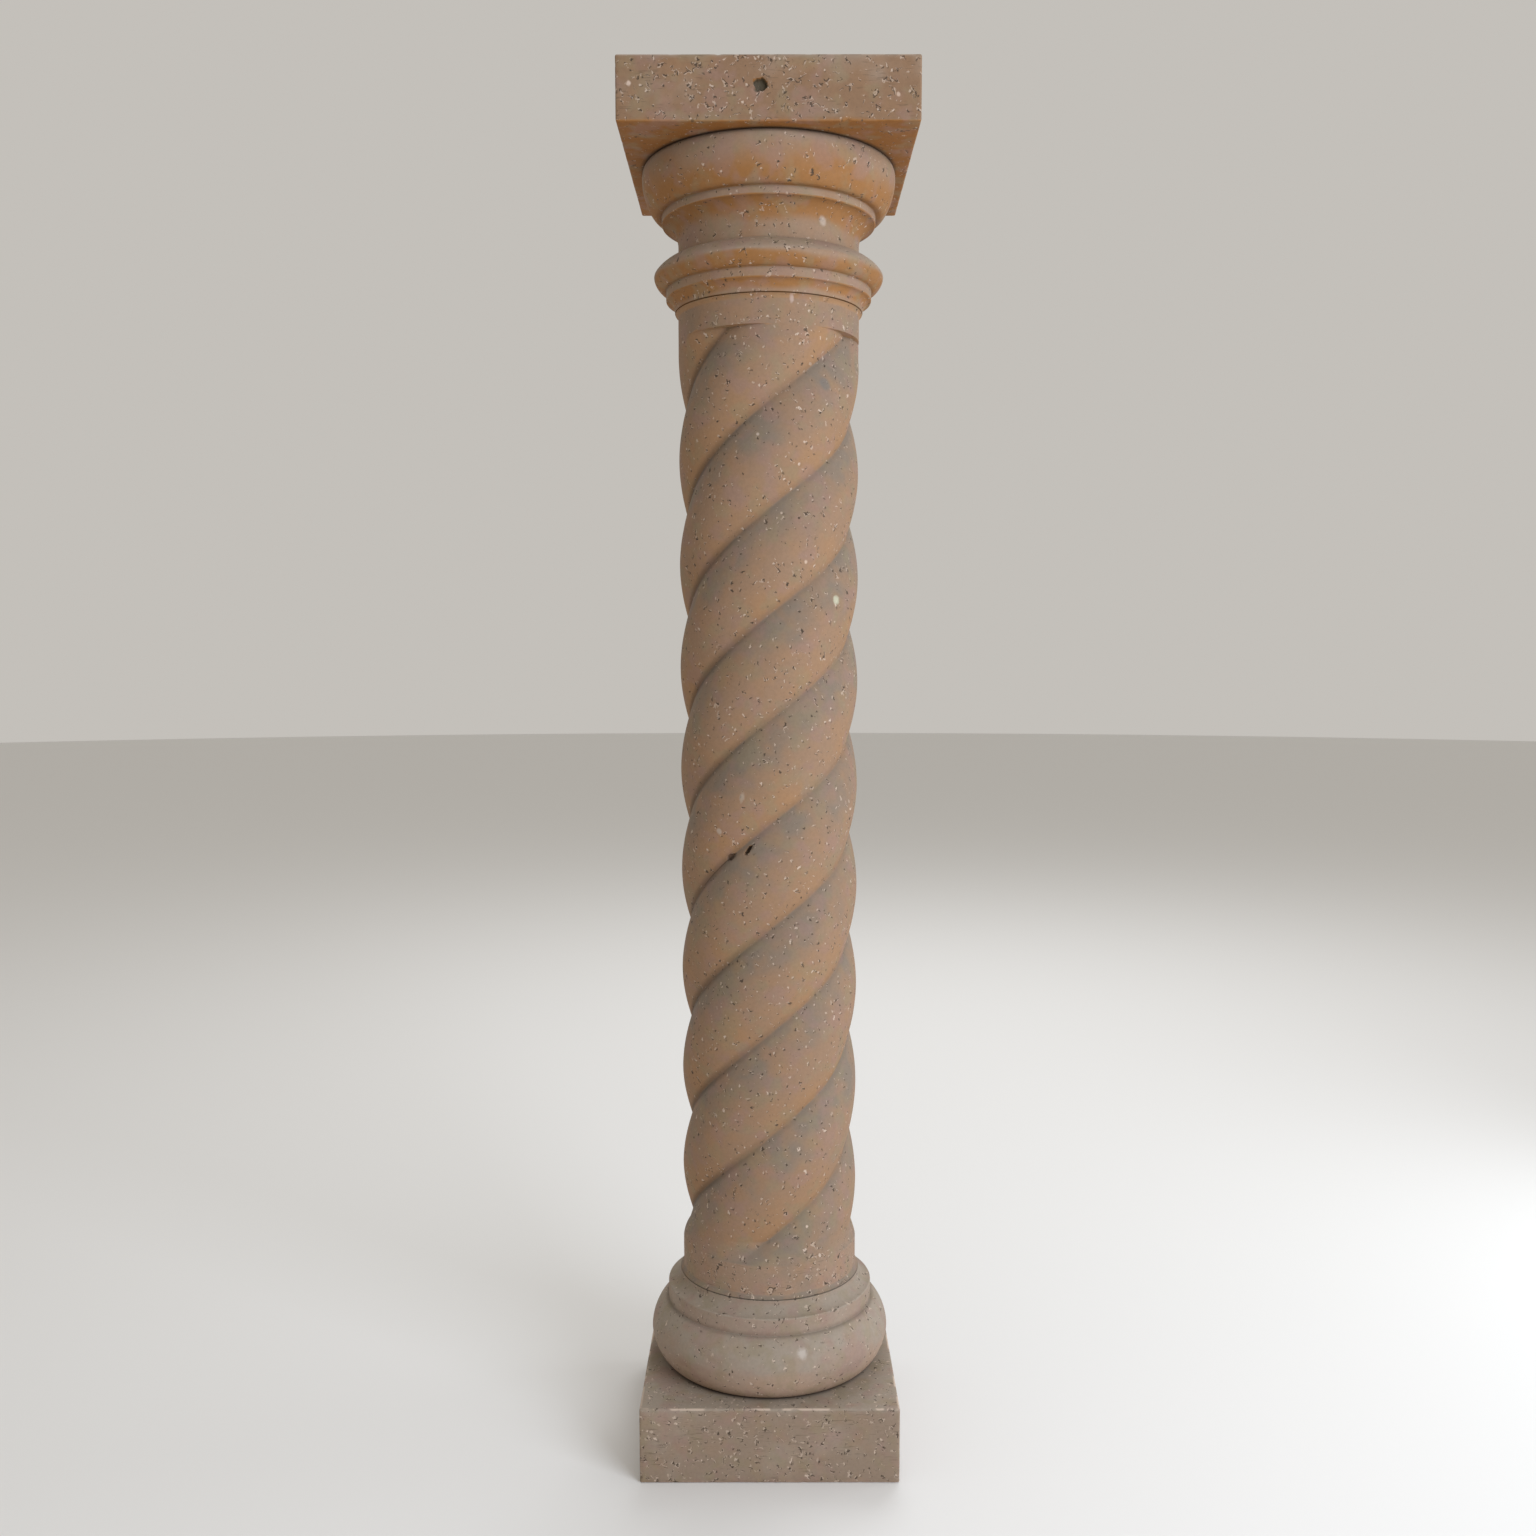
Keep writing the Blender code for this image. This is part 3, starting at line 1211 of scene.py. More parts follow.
@dataclass
class Block:
    """A carved block whose turned part grows out of a square slab.

    Args:
        sharp: edges that bend more than this are shaded sharp, in radians.
        profile_step: the distance between points on its outline.
        joint_ease: the radius of its arrises at the joint with the shaft.
        face_ring: how far its turned mesh runs out on the slab's face.
        face_rings: how many rings lie between that and the slab's arrises.
        pits: the hollows broken out of it.
        waves: how uneven its slab is.
        turned_waves: how uneven its turned part is, as a share of that.
    """

    node: ClassVar[Node]
    slot: ClassVar[Slot]
    name: ClassVar[str]
    sharp: float = math.radians(40)
    profile_step: float = 0.0031
    joint_ease: float = 0.0008
    face_ring: float = 0.0160
    face_rings: int = 10
    pits: tuple[Pit, ...] = ()
    waves: tuple[Wave, ...] = (Wave(0.00030, 0.09, 1.0), Wave(0.00012, 0.022, 2.0))
    turned_waves: float = 0.8

    def __post_init__(self) -> None:
        """Read the block's place from its node, and lay out its slab."""
        self.span = Span.of(self.node)
        self.slab = self.make_slab()

    def make_slab(self) -> Slab:
        """Return the block's slab."""
        raise NotImplementedError

    def outline(self) -> Outline:
        """Return the outline of the turned part, from its lower to its upper end."""
        raise NotImplementedError

    def slab_face(self) -> float:
        """Return the height of the slab's face that the turned part grows from."""
        raise NotImplementedError

    def creases(self) -> tuple[Crease, ...]:
        """Return the hollow corners darkened with painted shade, and the joint's dark line."""
        raise NotImplementedError

    def turn(self, bm: BMesh) -> list[BMEdge]:
        """Spin the outline about the axis, a quarter of it, and repeat that three times.

        Args:
            bm: the mesh, which holds the slab.

        Returns:
            The edges of the open circle at its slab end.
        """
        slab_verts, slab_faces = set(bm.verts), set(bm.faces)
        verts = [bm.verts.new((radius, 0.0, z)) for radius, z in self.outline().points()]
        edges = [bm.edges.new(pair) for pair in zip(verts, verts[1:])]
        bmesh.ops.spin(bm, geom=verts + edges, cent=(0, 0, 0), axis=(0, 0, 1),
                       angle=math.pi / 2, steps=TURN_STEPS // 4)
        quarter = [f for f in bm.faces if f not in slab_faces]
        for number in (1, 2, 3):
            copy = bmesh.ops.duplicate(bm, geom=quarter)["geom"]
            bmesh.ops.rotate(bm, verts=[v for v in copy if isinstance(v, BMVert)],
                             matrix=Matrix.Rotation(number * math.pi / 2, 3, "Z"))
        turned = [v for v in bm.verts if v not in slab_verts]
        bmesh.ops.remove_doubles(bm, verts=turned, dist=10 * WELD)
        face, inner = self.slab_face(), self.slab.half - 2 * self.slab.arris
        return [e for e in bm.edges if e.is_boundary and abs(e.verts[0].co.z - face) < WELD
                and math.hypot(*e.verts[0].co.xy) < inner]

    def build(self) -> bpy.types.Object:
        """Model the block.

        Returns:
            The block's object.
        """
        bm = bmesh.new()
        self.slab.build(bm)
        hole = self.slab.open_face(bm, self.slab_face())
        circle = self.turn(bm)
        self.spread_out(bm, hole, circle)
        refine(bm, self.pits)
        bmesh.ops.recalc_face_normals(bm, faces=bm.faces)
        self.wear(bm)
        return finished(bm, self.name, self.sharp)

    def spread_out(self, bm: BMesh, hole: list[BMEdge], circle: list[BMEdge]) -> None:
        """Grow the open circle ring by ring to the square hole in the slab, and weld it there.

        Args:
            bm: the mesh.
            hole: the edges of the hole.
            circle: the edges of the circle, as many as the hole has.
        """
        rim = sorted({v for e in hole for v in e.verts}, key=bearing)
        ring, verts = circle, []
        for left in range(self.face_rings, 0, -1):
            made = bmesh.ops.extrude_edge_only(bm, edges=ring)["geom"]
            verts = sorted((v for v in made if isinstance(v, BMVert)), key=bearing)
            ring = [e for e in made if isinstance(e, BMEdge) and e.is_boundary]
            for vert, goal in zip(verts, rim):
                vert.co += (goal.co - vert.co) / left
        bmesh.ops.remove_doubles(bm, verts=rim + verts, dist=WELD)

    def wear(self, bm: BMesh) -> None:
        """Make the surface uneven, chip the arrises, break out the pits and set the marks.

        Args:
            bm: the mesh, whose faces point outwards.
        """
        layers = mark_layers(bm)
        creases = self.creases()
        bm.normal_update()
        moves = []
        for vert in bm.verts:
            place = vert.co.copy()
            depth = sum(wave.fall(place) for wave in self.waves)
            if self.slab.low - WELD < place.z < self.slab.high + WELD:
                vert[layers[Mark.ARRIS]] = self.slab.arris_share(place)
                vert[layers[Mark.SAWN]] = 1.0
                depth += self.slab.chipping(place)
            else:
                depth *= self.turned_waves
            # Painted shade inside the pits.
            for pit in self.pits:
                vert[layers[Mark.BROKEN]] = max(vert[layers[Mark.BROKEN]], pit.shade(place))
            # Painted shade round the creases, and the joint's dark line.
            vert[layers[Mark.SHELTER]] = max(crease.share(place) for crease in creases)
            hollow = max((pit.share(place) * pit.depth for pit in self.pits), default=0.0)
            moves.append((vert, vert.normal * -(depth + hollow)))
        for vert, move in moves:
            vert.co += move


@dataclass
class BaseBlock(Block):
    """The square plinth with the torus, fillet and hollow that the shaft stands on.

    Args:
        plinth_height: the height of the plinth.
        torus_height: the height of the torus.
        torus_foot: the torus's radius where it meets the plinth.
        torus_reach: how far it swells out.
        torus_fullness: how full its curve is.
        fillet_radius: the radius of the upright fillet over it.
        fillet_height: the fillet's height.
    """

    node = Node.BASE
    slot = Slot.BASE
    name = "carved_base"
    plinth_height: float = 0.1377
    torus_height: float = 0.1152
    torus_foot: float = SHAFT_RADIUS + 0.0264
    torus_reach: float = 0.0330
    torus_fullness: float = 1.65
    fillet_radius: float = SHAFT_RADIUS + 0.0292
    fillet_height: float = 0.0318

    def make_slab(self) -> Slab:
        """Return the plinth."""
        return Slab(self.span, self.span.low.z, self.span.low.z + self.plinth_height)

    def slab_face(self) -> float:
        """Return the height of the plinth's top."""
        return self.slab.high

    def outline(self) -> Outline:
        """Draw the turned part.

        Returns:
            The outline, from the torus's foot up to the bed under the shaft.
        """
        foot, bed = self.slab.high, self.span.high.z
        torus_top = foot + self.torus_height
        line = Outline((self.torus_foot + self.face_ring, foot), self.profile_step)
        line.straight((self.torus_foot, foot), 0.0)
        line.swelling((self.fillet_radius, torus_top), self.torus_reach, self.torus_fullness, 0.0)
        line.straight((self.fillet_radius, torus_top + self.fillet_height), 0.0012)
        line.hollow((SEAT_RADIUS, bed - JOINT_SLOT), True, 0.0030)
        line.straight((SEAT_RADIUS - JOINT_DEPTH, bed - JOINT_SLOT), self.joint_ease)
        line.straight((SEAT_RADIUS - JOINT_DEPTH, bed), 0.0)
        line.straight((0.0, bed), 0.0)
        return line

    def creases(self) -> tuple[Crease, ...]:
        """Return the corners at the plinth, under the fillet and at the joint."""
        foot, bed = self.slab.high, self.span.high.z
        # Painted shade under the torus, under the fillet and below the joint, and the joint's
        # dark line.
        return (
            Crease(self.torus_foot, foot, 0.0140, 1.0),
            Crease(self.fillet_radius, foot + self.torus_height, 0.010, 0.30),
            Crease(SEAT_RADIUS, bed - 0.010, 0.026, 0.10),
            Crease(SEAT_RADIUS, bed, 0.0013, 0.8),
        )


@dataclass
class CapitalBlock(Block):
    """The turned capital and its square abacus.

    Args:
        abacus_height: the height of the abacus.
        lower_hollow_height: the height of the hollow over the joint.
        lower_fillet_radius: the radius of the fillet over that.
        lower_fillet_height: its height.
        astragal_height: the height of the astragal.
        astragal_top: its radius at its top.
        astragal_reach: how far it swells out.
        astragal_fullness: how full its curve is.
        neck_radius: the radius of the neck.
        neck_height: its height.
        upper_hollow_height: the height of the hollow over the neck.
        upper_fillet_radius: the radius of the fillet over that.
        upper_fillet_height: its height.
        echinus_foot: the echinus's radius at its foot.
        echinus_top: its radius under the abacus.
        echinus_reach: how far it swells out.
        echinus_fullness: how full its curve is.
    """

    node = Node.CAPITAL
    slot = Slot.CAPITAL
    name = "carved_capital"
    profile_step: float = 0.0035
    abacus_height: float = 0.1063
    lower_hollow_height: float = 0.0206
    lower_fillet_radius: float = SHAFT_RADIUS + 0.0217
    lower_fillet_height: float = 0.0179
    astragal_height: float = 0.0520
    astragal_top: float = SHAFT_RADIUS + 0.0066
    astragal_reach: float = 0.0287
    astragal_fullness: float = 1.5
    neck_radius: float = SHAFT_RADIUS - 0.0008
    neck_height: float = 0.0263
    upper_hollow_height: float = 0.0370
    upper_fillet_radius: float = SHAFT_RADIUS + 0.0287
    upper_fillet_height: float = 0.0152
    echinus_foot: float = SHAFT_RADIUS + 0.0370
    echinus_top: float = SHAFT_RADIUS + 0.0566
    echinus_reach: float = 0.0139
    echinus_fullness: float = 1.9

    def __post_init__(self) -> None:
        """Lay out the abacus, with the chip in its front."""
        super().__post_init__()
        chip = Vector((-0.0130, self.span.low.y, 2.3917))
        self.pits = (Pit(chip, 0.0113, 0.0122, 0.3, 0.009),)

    def make_slab(self) -> Slab:
        """Return the abacus."""
        top = self.span.high.z
        return Slab(self.span, top - self.abacus_height, top, layers=22)

    def slab_face(self) -> float:
        """Return the height of the abacus's underside."""
        return self.slab.low

    def heights(self) -> dict[str, float]:
        """Add up the mouldings above the lower hollow.

        Returns:
            The height at which each of them starts, by its name.
        """
        steps = (
            ("fillet", self.lower_hollow_height),
            ("astragal", self.lower_fillet_height),
            ("neck", self.astragal_height),
            ("hollow", self.neck_height),
            ("upper_fillet", self.upper_hollow_height),
            ("echinus", self.upper_fillet_height),
        )
        found = {}
        z = self.span.low.z
        for name, rise in steps:
            z += rise
            found[name] = z
        return found

    def outline(self) -> Outline:
        """Draw the turned part.

        Returns:
            The outline, from the bed on the shaft up to the abacus.
        """
        bed, z = self.span.low.z, self.heights()
        line = Outline((0.0, bed), self.profile_step)
        line.straight((SEAT_RADIUS - JOINT_DEPTH, bed), 0.0)
        line.straight((SEAT_RADIUS - JOINT_DEPTH, bed + JOINT_SLOT), 0.0)
        line.straight((SEAT_RADIUS, bed + JOINT_SLOT), 0.0)
        line.hollow((self.lower_fillet_radius, z["fillet"]), False, self.joint_ease)
        line.straight((self.lower_fillet_radius, z["astragal"]), 0.0030)
        line.swelling((self.astragal_top, z["neck"]), self.astragal_reach,
                      self.astragal_fullness, 0.0012)
        line.straight((self.neck_radius, z["neck"]), 0.0010)
        line.straight((self.neck_radius, z["hollow"]), 0.0020)
        line.hollow((self.upper_fillet_radius, z["upper_fillet"]), False, 0.0010)
        line.straight((self.upper_fillet_radius, z["echinus"]), 0.0030)
        line.straight((self.echinus_foot, z["echinus"]), 0.0012)
        line.swelling((self.echinus_top, self.slab.low), self.echinus_reach,
                      self.echinus_fullness, 0.0012)
        line.straight((self.echinus_top + self.face_ring, self.slab.low), 0.0)
        return line

    def creases(self) -> tuple[Crease, ...]:
        """Return the corners at the joint, round the mouldings and under the abacus."""
        z = self.heights()
        # The joint's dark line, and painted shade round the mouldings and under the abacus.
        return (
            Crease(SEAT_RADIUS, self.span.low.z, 0.0016, 0.7),
            Crease(self.lower_fillet_radius, z["astragal"], 0.005, 0.35),
            Crease(self.neck_radius, z["neck"], 0.005, 0.35),
            Crease(self.upper_fillet_radius, z["echinus"], 0.006, 0.35),
            Crease(self.echinus_top, self.slab.low, 0.0110, 1.0),
        )


@dataclass
class TwistedShaft:
    """The shaft, with four strands that wind up to the right between two plain bands.

    Args:
        radius: the radius of the bands and of the strands' crests.
        flare_height: the height over which each end flares to its seat.
        strands: how many strands it has.
        pitch: how far a strand climbs in one turn.
        start: the angle of the first strand's middle at height 0.
        groove_depth: how deep the grooves are.
        groove_ease: how rounded their bottoms are.
        lower_band: the height of the lower band.
        lower_run_out: the height over which the grooves fade in above it.
        upper_band: the height of the upper band.
        ledge: the height over which the grooves stop under it.
        flush: how far the crests stand proud under the ledge.
        flush_height: the height over which they do.
        joint_ease: the radius of its arrises at both joints.
        lines_a_strand: how many points a strand has across.
        ring_rise: about how far apart the coarse rings are.
        cuts_a_ring: how many rings are cut in between two of those.
        foot_sawn: how plainly sawn the lower band is, from 0 to 1.
        head_sawn: how plainly sawn the upper band is.
        stray_low: how far the strands on the right stray down at the foot.
        stray_high: how far they stray down at the head.
        stray_front: how far the strands in front stray up half way.
        seam_dirt: how dark the seams of the joints are, from 0 to 1.
        groove_shade_and_dirt: how dark the grooves are all round, painted shade with dirt.
        left_painted_shade: how much darker they are painted on the left, as painted shade.
        groove_shade_starts: how deep in a groove its painted shade starts, as a share of its
            depth.
        stain_from: the bearing where the stain starts.
        stain_to: the bearing where it ends.
        stain_below: how far it reaches below its pit.
        stain_above: how far it reaches above it.
        stain_width: how wide it is.
        stain_dark: how dark it is, from 0 to 1.
        waves: how uneven it is.
        sharp: edges that bend more than this are shaded sharp, in radians.
    """

    node: ClassVar[Node] = Node.SHAFT
    slot: ClassVar[Slot] = Slot.SHAFT
    name: ClassVar[str] = "carved_shaft"
    radius: float = SHAFT_RADIUS
    flare_height: float = 0.0090
    strands: int = 4
    pitch: float = 0.7465
    start: float = math.radians(25.7)
    groove_depth: float = 0.0187
    groove_ease: float = 0.0026
    lower_band: float = 0.0604
    lower_run_out: float = 0.0393
    upper_band: float = 0.0501
    ledge: float = 0.0008
    flush: float = 0.0028
    flush_height: float = 0.030
    joint_ease: float = 0.0008
    lines_a_strand: int = 48
    ring_rise: float = 0.0156
    cuts_a_ring: int = 3
    foot_sawn: float = 0.85
    head_sawn: float = 0.18
    stray_low: float = 0.021
    stray_high: float = 0.006
    stray_front: float = 0.0095
    seam_dirt: float = 0.7
    groove_shade_and_dirt: float = 0.18
    left_painted_shade: float = 0.5
    groove_shade_starts: float = 0.72
    stain_from: float = math.radians(-152)
    stain_to: float = math.radians(-118)
    stain_below: float = 0.09
    stain_above: float = 0.01
    stain_width: float = 0.0058
    stain_dark: float = 0.95
    waves: tuple[Wave, ...] = (Wave(0.0004, 0.12, 4.0), Wave(0.00015, 0.03, 6.0))
    sharp: float = math.radians(50)

    def __post_init__(self) -> None:
        """Read the shaft's place from its node, and set the two pits in one of its grooves."""
        span = Span.of(self.node)
        self.low, self.high = span.low.z, span.high.z
        self.pits = (
            Pit(self.on_groove(-104.3, 1.1247), 0.0042, 0.0105, 1.0, 0.010),
            Pit(self.on_groove(-118.3, 1.1105), 0.0058, 0.0100, 0.65, 0.006, 0.6),
        )

    @staticmethod
    def place_at(radius: float, angle: float, z: float) -> Vector:
        """Return the place at a radius, a bearing in radians and a height."""
        return Vector((radius * math.cos(angle), radius * math.sin(angle), z))

    def on_groove(self, degrees: float, z: float) -> Vector:
        """Return a place at the depth of the grooves, by its bearing and height."""
        return self.place_at(self.radius - self.groove_depth, math.radians(degrees), z)

    @property
    def spread(self) -> float:
        """The angle that one strand takes up."""
        return 2 * math.pi / self.strands

    def twist(self, z: float) -> float:
        """Return the bearing of the first strand's middle at a height."""
        return self.start + 2 * math.pi * z / self.pitch

    def groove_share(self, z: float) -> float:
        """Tell how deep the grooves are at a height.

        Args:
            z: the height.

        Returns:
            The share of their full depth: 0 in the bands, 1 in the twist.
        """
        rise = (z - self.low - self.lower_band) / self.lower_run_out
        fall = (self.high - self.upper_band - z) / self.ledge
        return max(0.0, min(1.0, rise, fall))

    def strand_radius(self, local: float) -> float:
        """Work out the grooved section: arcs that meet at the bottom of the grooves.

        Args:
            local: the angle from a strand's middle.

        Returns:
            The section's radius there.
        """
        half = self.spread / 2
        ease = self.groove_ease / self.radius
        to_groove = half - abs(local)
        local = half - (math.sqrt(to_groove**2 + ease**2) - ease)
        bottom = self.radius - self.groove_depth
        offset = (self.radius**2 - bottom**2) / (2 * (self.radius - bottom * math.cos(half)))
        reach = self.radius - offset
        side = offset * math.sin(local)
        return offset * math.cos(local) + math.sqrt(reach**2 - side**2)

    def crowd(self, index: int) -> float:
        """Space a ring's points closer together towards the grooves.

        Args:
            index: the point's number.

        Returns:
            Its angle from the first strand's middle.
        """
        strand, step = divmod(index, self.lines_a_strand)
        along = 2 * step / self.lines_a_strand - 1
        local = self.spread / 2 * (0.5 * along + 0.5 * math.sin(math.pi / 2 * along))
        return strand * self.spread + local

    def ring(self, bm: BMesh) -> list[BMVert | BMEdge]:
        """Add the first ring, at the shaft's foot.

        Args:
            bm: the mesh.

        Returns:
            The ring's points and edges.
        """
        count = self.strands * self.lines_a_strand
        verts = bmesh.ops.create_circle(bm, segments=count, radius=self.radius)["verts"]
        verts.sort(key=lambda v: math.atan2(v.co.y, v.co.x) % (2 * math.pi))
        for index, vert in enumerate(verts):
            angle = self.crowd(index) + self.twist(self.low)
            vert.co = Vector((math.cos(angle), math.sin(angle), 0.0)) * self.radius
            vert.co.z = self.low
        return verts + bm.edges[:]

    def levels(self) -> list[float]:
        """Find where the surface breaks and needs a ring.

        Returns:
            The heights.
        """
        run_out = self.low + self.lower_band
        stop = self.high - self.upper_band
        eases = [JOINT_SLOT + down for down in (0.0, 0.0002, 0.0005, self.joint_ease)]
        return [
            *(self.low + gap for gap in eases),
            self.low + self.flare_height,
            run_out,
            run_out + self.lower_run_out,
            stop - self.flush_height / 3,
            stop - self.ledge,
            stop,
            self.high - self.flare_height,
            *(self.high - gap for gap in eases),
        ]

    def stray(self, angle: float, z: float) -> float:
        """Tell how the hand-set strands stray from a true helix.

        Args:
            angle: the bearing.
            z: the height.

        Returns:
            How far they lie below the helix there, or above it if negative.
        """
        share = (z - self.low) / (self.high - self.low)
        drop = self.stray_low + (self.stray_high - self.stray_low) * share
        lift = self.stray_front * math.sin(math.pi * share) ** 2
        return drop * max(0.0, math.cos(angle)) ** 2 - lift * max(0.0, -math.sin(angle))

    def lay(self, place: Vector) -> tuple[Vector, dict[Mark, float]]:
        """Carve one point of the plain tube.

        Args:
            place: where it is on the tube.

        Returns:
            Where it lies on the carved surface, and its marks.
        """
        angle, z = math.atan2(place.y, place.x), place.z
        local = (angle - self.twist(z) + self.spread / 2) % self.spread - self.spread / 2
        share = self.groove_share(z)
        deep = share * (self.radius - self.strand_radius(local))
        below_stop = self.high - self.upper_band - z
        if below_stop > -WELD:
            proud = self.flush * (1.0 - smooth_step(0.0, self.flush_height, below_stop))
            deep = max(0.0, deep - proud)
        from_foot = z - self.low
        from_seat = min(from_foot, self.high - z)
        flare = (SEAT_RADIUS - self.radius) * max(0.0, 1.0 - from_seat / self.flare_height) ** 2
        angle += 2 * math.pi * self.stray(angle, z) / self.pitch
        radius = self.radius - deep + flare
        laid = self.place_at(radius, angle, z)
        uneven = sum(wave.fall(laid) for wave in self.waves)
        hollow = max(pit.share(laid) * pit.depth for pit in self.pits)
        radius -= uneven * smooth_step(0.0, 0.004, from_seat) + hollow
        from_slot = from_seat - JOINT_SLOT
        radius -= JOINT_DEPTH if from_slot < WELD else eased(from_slot, self.joint_ease)
        seam = self.seam_dirt * (1.0 - smooth_step(JOINT_SLOT, 2.5 * JOINT_SLOT, from_seat))
        # Painted shade deep in the grooves, darker on the left side.
        painted_shade_and_dirt = self.groove_shade_and_dirt + self.left_painted_shade * max(0.0, -math.cos(angle))
        crease = painted_shade_and_dirt * smooth_step(self.groove_shade_starts, 1.0, deep / self.groove_depth)
        sawn = self.foot_sawn if from_seat == from_foot else self.head_sawn
        marks = {
            # Painted shade inside the pits.
            Mark.BROKEN: max(pit.share(laid) * pit.dark for pit in self.pits),
            Mark.SHELTER: max(seam, crease, self.stain(angle, z, local)),
            Mark.SAWN: (1.0 - share) * sawn,
        }
        return self.place_at(radius, angle, z), marks

    def stain(self, angle: float, z: float, local: float) -> float:
        """Tell how dark the stain is that runs down one groove from a pit.

        Args:
            angle: the bearing.
            z: the height.
            local: the angle from the nearest strand's middle.

        Returns:
            How dark it is there, from 0 to 1.
        """
        above_pit = z - self.pits[1].place.z
        beside = self.stain_from < angle < self.stain_to
        if not (beside and -self.stain_below < above_pit < self.stain_above):
            return 0.0
        apart = (self.spread / 2 - abs(local)) * self.radius
        ends = smooth_step(self.stain_from, self.stain_from + 0.2, angle)
        return self.stain_dark * ends * (1.0 - smooth_step(0.0, self.stain_width, apart))

    def build(self) -> bpy.types.Object:
        """Model the shaft.

        Returns:
            The shaft's object.
        """
        bm = bmesh.new()
        section = self.ring(bm)
        height = self.high - self.low
        steps = round(height / self.ring_rise)
        bmesh.ops.spin(bm, geom=section, cent=(0, 0, 0), axis=(0, 0, 1),
                       dvec=(0, 0, height / steps), angle=2 * math.pi * height / self.pitch,
                       steps=steps)
        rising = [e for e in bm.edges if abs(e.verts[0].co.z - e.verts[1].co.z) > WELD]
        bmesh.ops.subdivide_edges(bm, edges=rising, cuts=self.cuts_a_ring, use_grid_fill=True)
        for level in self.levels():
            bmesh.ops.bisect_plane(bm, geom=bm.verts[:] + bm.edges[:] + bm.faces[:],
                                   dist=WELD, plane_co=(0, 0, level), plane_no=(0, 0, 1))
        refine(bm, (self.on_tube(pit) for pit in self.pits))
        layers = mark_layers(bm)
        for vert in bm.verts:
            vert.co, marks = self.lay(vert.co)
            for mark, value in marks.items():
                vert[layers[mark]] = value
        rims = [e for e in bm.edges if e.is_boundary]
        bmesh.ops.holes_fill(bm, edges=rims, sides=0)
        return finished(bm, self.name, self.sharp)

    def on_tube(self, pit: Pit) -> Pit:
        """Find where a pit will be before the tube is carved.

        Args:
            pit: the pit.

        Returns:
            A longer pit at the same bearing and height, out on the plain tube.
        """
        middle = Vector((pit.place.x, pit.place.y, 0.0)).normalized() * self.radius
        middle.z = pit.place.z
        return Pit(middle, pit.across, 1.6 * pit.along, pit.lean, pit.depth)


@dataclass(frozen=True)
class Lamp:
    """A square soft light.

    Args:
        name: its name.
        at: where it hangs.
        to: where it points.
        side: its side.
        power: its power in watts.
        tint: its colour.
    """

    name: str
    at: Vector
    to: Vector
    side: float
    power: float
    tint: Colour

    def hang(self) -> None:
        """Hang the light in the scene."""
        light = bpy.data.lights.new(self.name, "AREA")
        light.shape = "SQUARE"
        light.size = self.side
        light.energy = self.power
        light.color = self.tint
        lamp = bpy.data.objects.new(self.name, light)
        lamp.location = self.at
        lamp.rotation_euler = (self.to - self.at).to_track_quat("-Z", "Y").to_euler()
        bpy.context.scene.collection.objects.link(lamp)


MIDDLE, BEHIND = Vector((0.0, 0.0, 1.2)), Vector((0.6, 2.2, 0.0))
LAMPS = (
    Lamp("key", Vector((2.6, -3.1, 2.3)), MIDDLE, 2.4, 126.0, (0.93, 1.0, 1.12)),
    Lamp("rim", Vector((3.0, 0.4, 0.9)), MIDDLE, 1.4, 20.0, (0.93, 1.0, 1.08)),
    Lamp("back", Vector((1.0, 3.4, 4.6)), BEHIND, 3.0, 100.0, (0.96, 1.0, 1.06)),
)


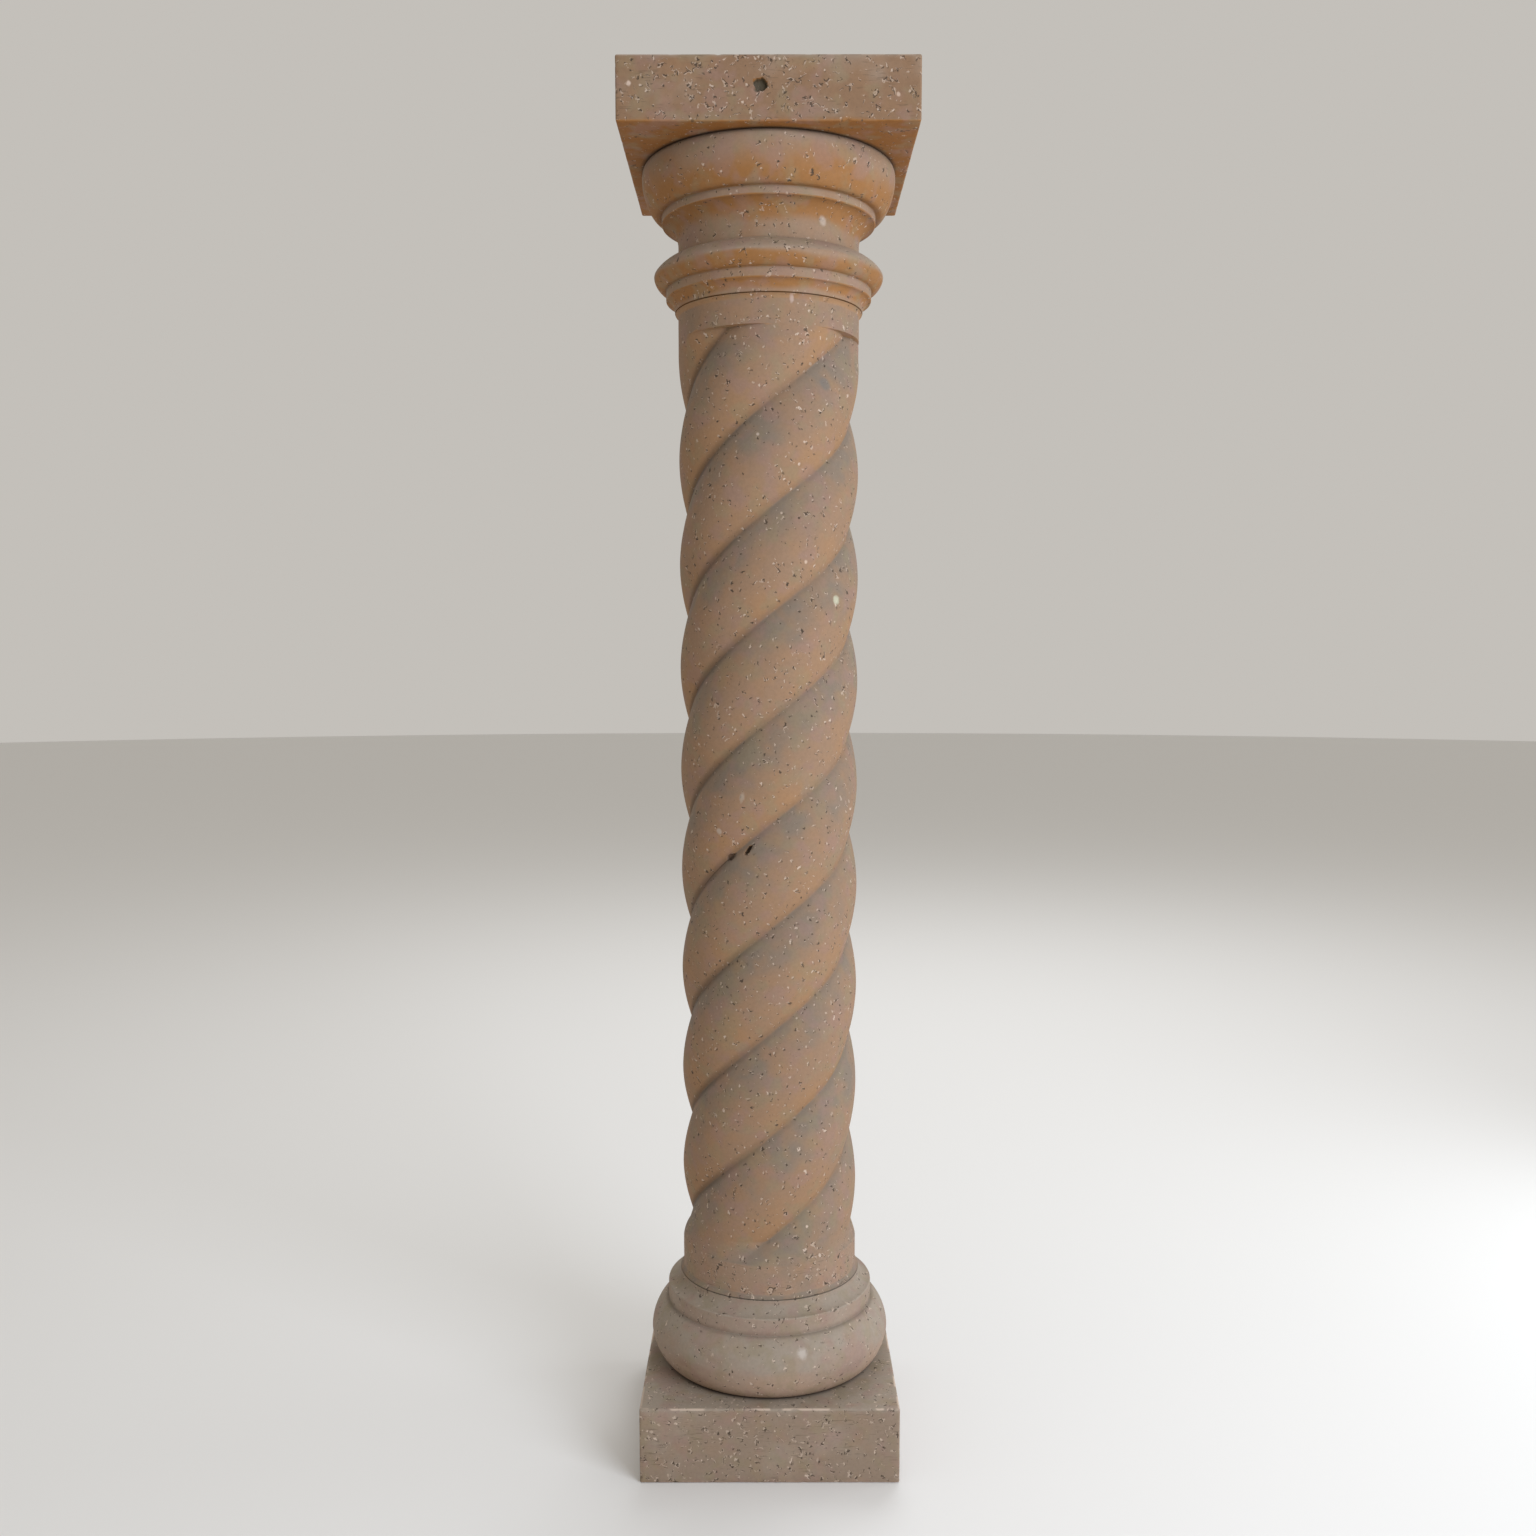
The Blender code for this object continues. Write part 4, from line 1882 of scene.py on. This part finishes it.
@dataclass(frozen=True)
class Studio:
    """A pale floor, soft light and the camera.

    Args:
        floor: the floor's colour.
        air: the colour of the light from all round.
        air_strength: its strength.
        floor_reach: the floor's radius.
        focal: the camera's focal length, in pixels of the photograph.
        frame_side: the photograph's side, in pixels.
        sensor: the camera's sensor, in millimetres.
        eye: where the camera stands.
        tilt: how far it looks down, in radians.
        axis_low: how far its optical centre is below the frame's middle, in pixels.
        axis_right: how far that is to the right of it, in pixels.
        roll: how far its top leans to the right, in radians.
    """

    floor: Colour = (0.77, 0.76, 0.74)
    air: Colour = (1.0, 0.957, 0.893)
    air_strength: float = 0.55
    floor_reach: float = 30.0
    focal: float = 1445.5
    frame_side: float = 1536.0
    sensor: float = 36.0
    eye: Vector = Vector((0.0, -2.690, 1.4455))
    tilt: float = 0.0873
    axis_low: float = 27.2
    axis_right: float = 1.0
    roll: float = 0.00086

    def lay_floor(self) -> None:
        """Make the floor and keep it off the object."""
        bm = bmesh.new()
        bmesh.ops.create_circle(bm, cap_ends=True, segments=96, radius=self.floor_reach)
        mesh = bpy.data.meshes.new("floor")
        bm.to_mesh(mesh)
        bm.free()
        floor = bpy.data.objects.new("floor", mesh)
        bpy.context.scene.collection.objects.link(floor)
        material = bpy.data.materials.new("Pale floor")
        material.use_nodes = True
        shader = material.node_tree.nodes["Principled BSDF"]
        shader.inputs["Base Color"].default_value = (*self.floor, 1.0)
        shader.inputs["Roughness"].default_value = 0.9
        mesh.materials.append(material)

    def fill_air(self) -> None:
        """Give the world its soft light."""
        world = bpy.data.worlds.new("Studio air")
        world.use_nodes = True
        back = world.node_tree.nodes["Background"]
        back.inputs["Color"].default_value = (*self.air, 1.0)
        back.inputs["Strength"].default_value = self.air_strength
        bpy.context.scene.world = world

    def stand_camera(self) -> None:
        """Stand the camera where the photograph was taken from."""
        data = bpy.data.cameras.new("camera")
        data.sensor_width = self.sensor
        data.lens = self.focal / self.frame_side * self.sensor
        data.shift_x = -self.axis_right / self.frame_side
        data.shift_y = self.axis_low / self.frame_side
        camera = bpy.data.objects.new("camera", data)
        camera.location = self.eye
        camera.rotation_euler = Euler((math.pi / 2 - self.tilt, self.roll, 0.0))
        bpy.context.scene.collection.objects.link(camera)
        bpy.context.scene.camera = camera

    def set_up(self) -> None:
        """Make the whole studio."""
        self.stand_camera()
        self.lay_floor()
        self.fill_air()
        for lamp in LAMPS:
            lamp.hang()
        bpy.context.scene.view_settings.view_transform = "Standard"


# The upper, under and sawn underside tints of each finish are painted light and shade by facing.
FINISHES = {
    Slot.BASE: StoneFinish(
        "Base stone",
        body=(0.312, 0.233, 0.178),
        sawn=(0.264, 0.194, 0.140),
        upper=(0.306, 0.254, 0.200),
        under=(0.368, 0.258, 0.187),
        tawny=0.12,
        edge_wear=0.8,
        inclusions=(
            Inclusion(Vector((0.0587, -0.2141, 0.2287)), Vector((0.012, 0.03, 0.013)), 0.6,
                      (0.480, 0.420, 0.370), 0.75, 0.7),
        ),
    ),
    Slot.SHAFT: StoneFinish(
        "Shaft stone",
        body=(0.286, 0.178, 0.110),
        sawn=(0.304, 0.204, 0.140),
        upper=(0.212, 0.167, 0.127),
        under=(0.326, 0.182, 0.090),
        inclusions=(
            Inclusion(Vector((0.0974, -0.1231, 1.9387)), Vector((0.011, 0.03, 0.018)), 0.5,
                      (0.160, 0.147, 0.132), 0.7, 0.6),
            Inclusion(Vector((0.1184, -0.1031, 1.5663)), Vector((0.008, 0.02, 0.010)), 0.0,
                      (0.490, 0.480, 0.350), 0.8, 0.5),
            Inclusion(Vector((-0.0189, -0.1569, 1.8480)), Vector((0.0035, 0.02, 0.0035)), 0.0,
                      (0.520, 0.420, 0.350), 0.8, 0.6),
            Inclusion(Vector((0.0645, -0.1442, 1.6308)), Vector((0.0035, 0.02, 0.0045)), 0.0,
                      (0.560, 0.410, 0.310), 0.8, 0.6),
            Inclusion(Vector((-0.0476, -0.1507, 1.2201)), Vector((0.006, 0.02, 0.013)), -0.15,
                      (0.400, 0.330, 0.260), 0.6, 0.6),
            Inclusion(Vector((-0.0891, -0.1305, 1.1575)), Vector((0.006, 0.02, 0.008)), 0.4,
                      (0.420, 0.340, 0.280), 0.7, 0.6),
            Inclusion(Vector((0.0392, -0.1613, 2.0750)), Vector((0.005, 0.02, 0.010)), 0.0,
                      (0.480, 0.360, 0.310), 0.7, 0.6),
        ),
    ),
    Slot.CAPITAL: StoneFinish(
        "Capital stone",
        body=(0.305, 0.200, 0.130),
        sawn=(0.243, 0.143, 0.081),
        upper=(0.306, 0.227, 0.166),
        under=(0.296, 0.132, 0.038),
        broken=(0.070, 0.060, 0.038),
        tawny=0.14,
        edge_wear=0.3,
        inclusions=(
            Inclusion(Vector((0.0926, -0.1344, 2.2104)), Vector((0.009, 0.02, 0.011)), 0.3,
                      (0.460, 0.370, 0.300), 0.75, 0.7),
            Inclusion(Vector((-0.2274, -0.25, 2.3932)), Vector((0.005, 0.02, 0.006)), 0.0,
                      (0.620, 0.480, 0.390), 0.8, 0.6),
            Inclusion(Vector((0.2113, -0.25, 2.3760)), Vector((0.004, 0.02, 0.005)), 0.3,
                      (0.540, 0.400, 0.310), 0.8, 0.6),
        ),
    ),
}


def report_piece(piece: bpy.types.Object) -> None:
    """Log a piece's name and how many triangles it has."""
    triangles = sum(len(face.vertices) - 2 for face in piece.data.polygons)
    LOG.info("%s: %d triangles", piece.name, triangles)


def main() -> None:
    """Build the studio and the three blocks."""
    logging.basicConfig(level=logging.INFO, format="%(message)s")
    Studio().set_up()
    grains, spots = grains_group(), spot_group()
    for maker in (BaseBlock, TwistedShaft, CapitalBlock):
        block = maker()
        piece = block.build()
        piece.data.materials.append(FINISHES[block.slot].material(grains, spots))
        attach(piece, BODY)
        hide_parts(block.node.value)
        report_piece(piece)


if __name__ == "__main__":
    main()
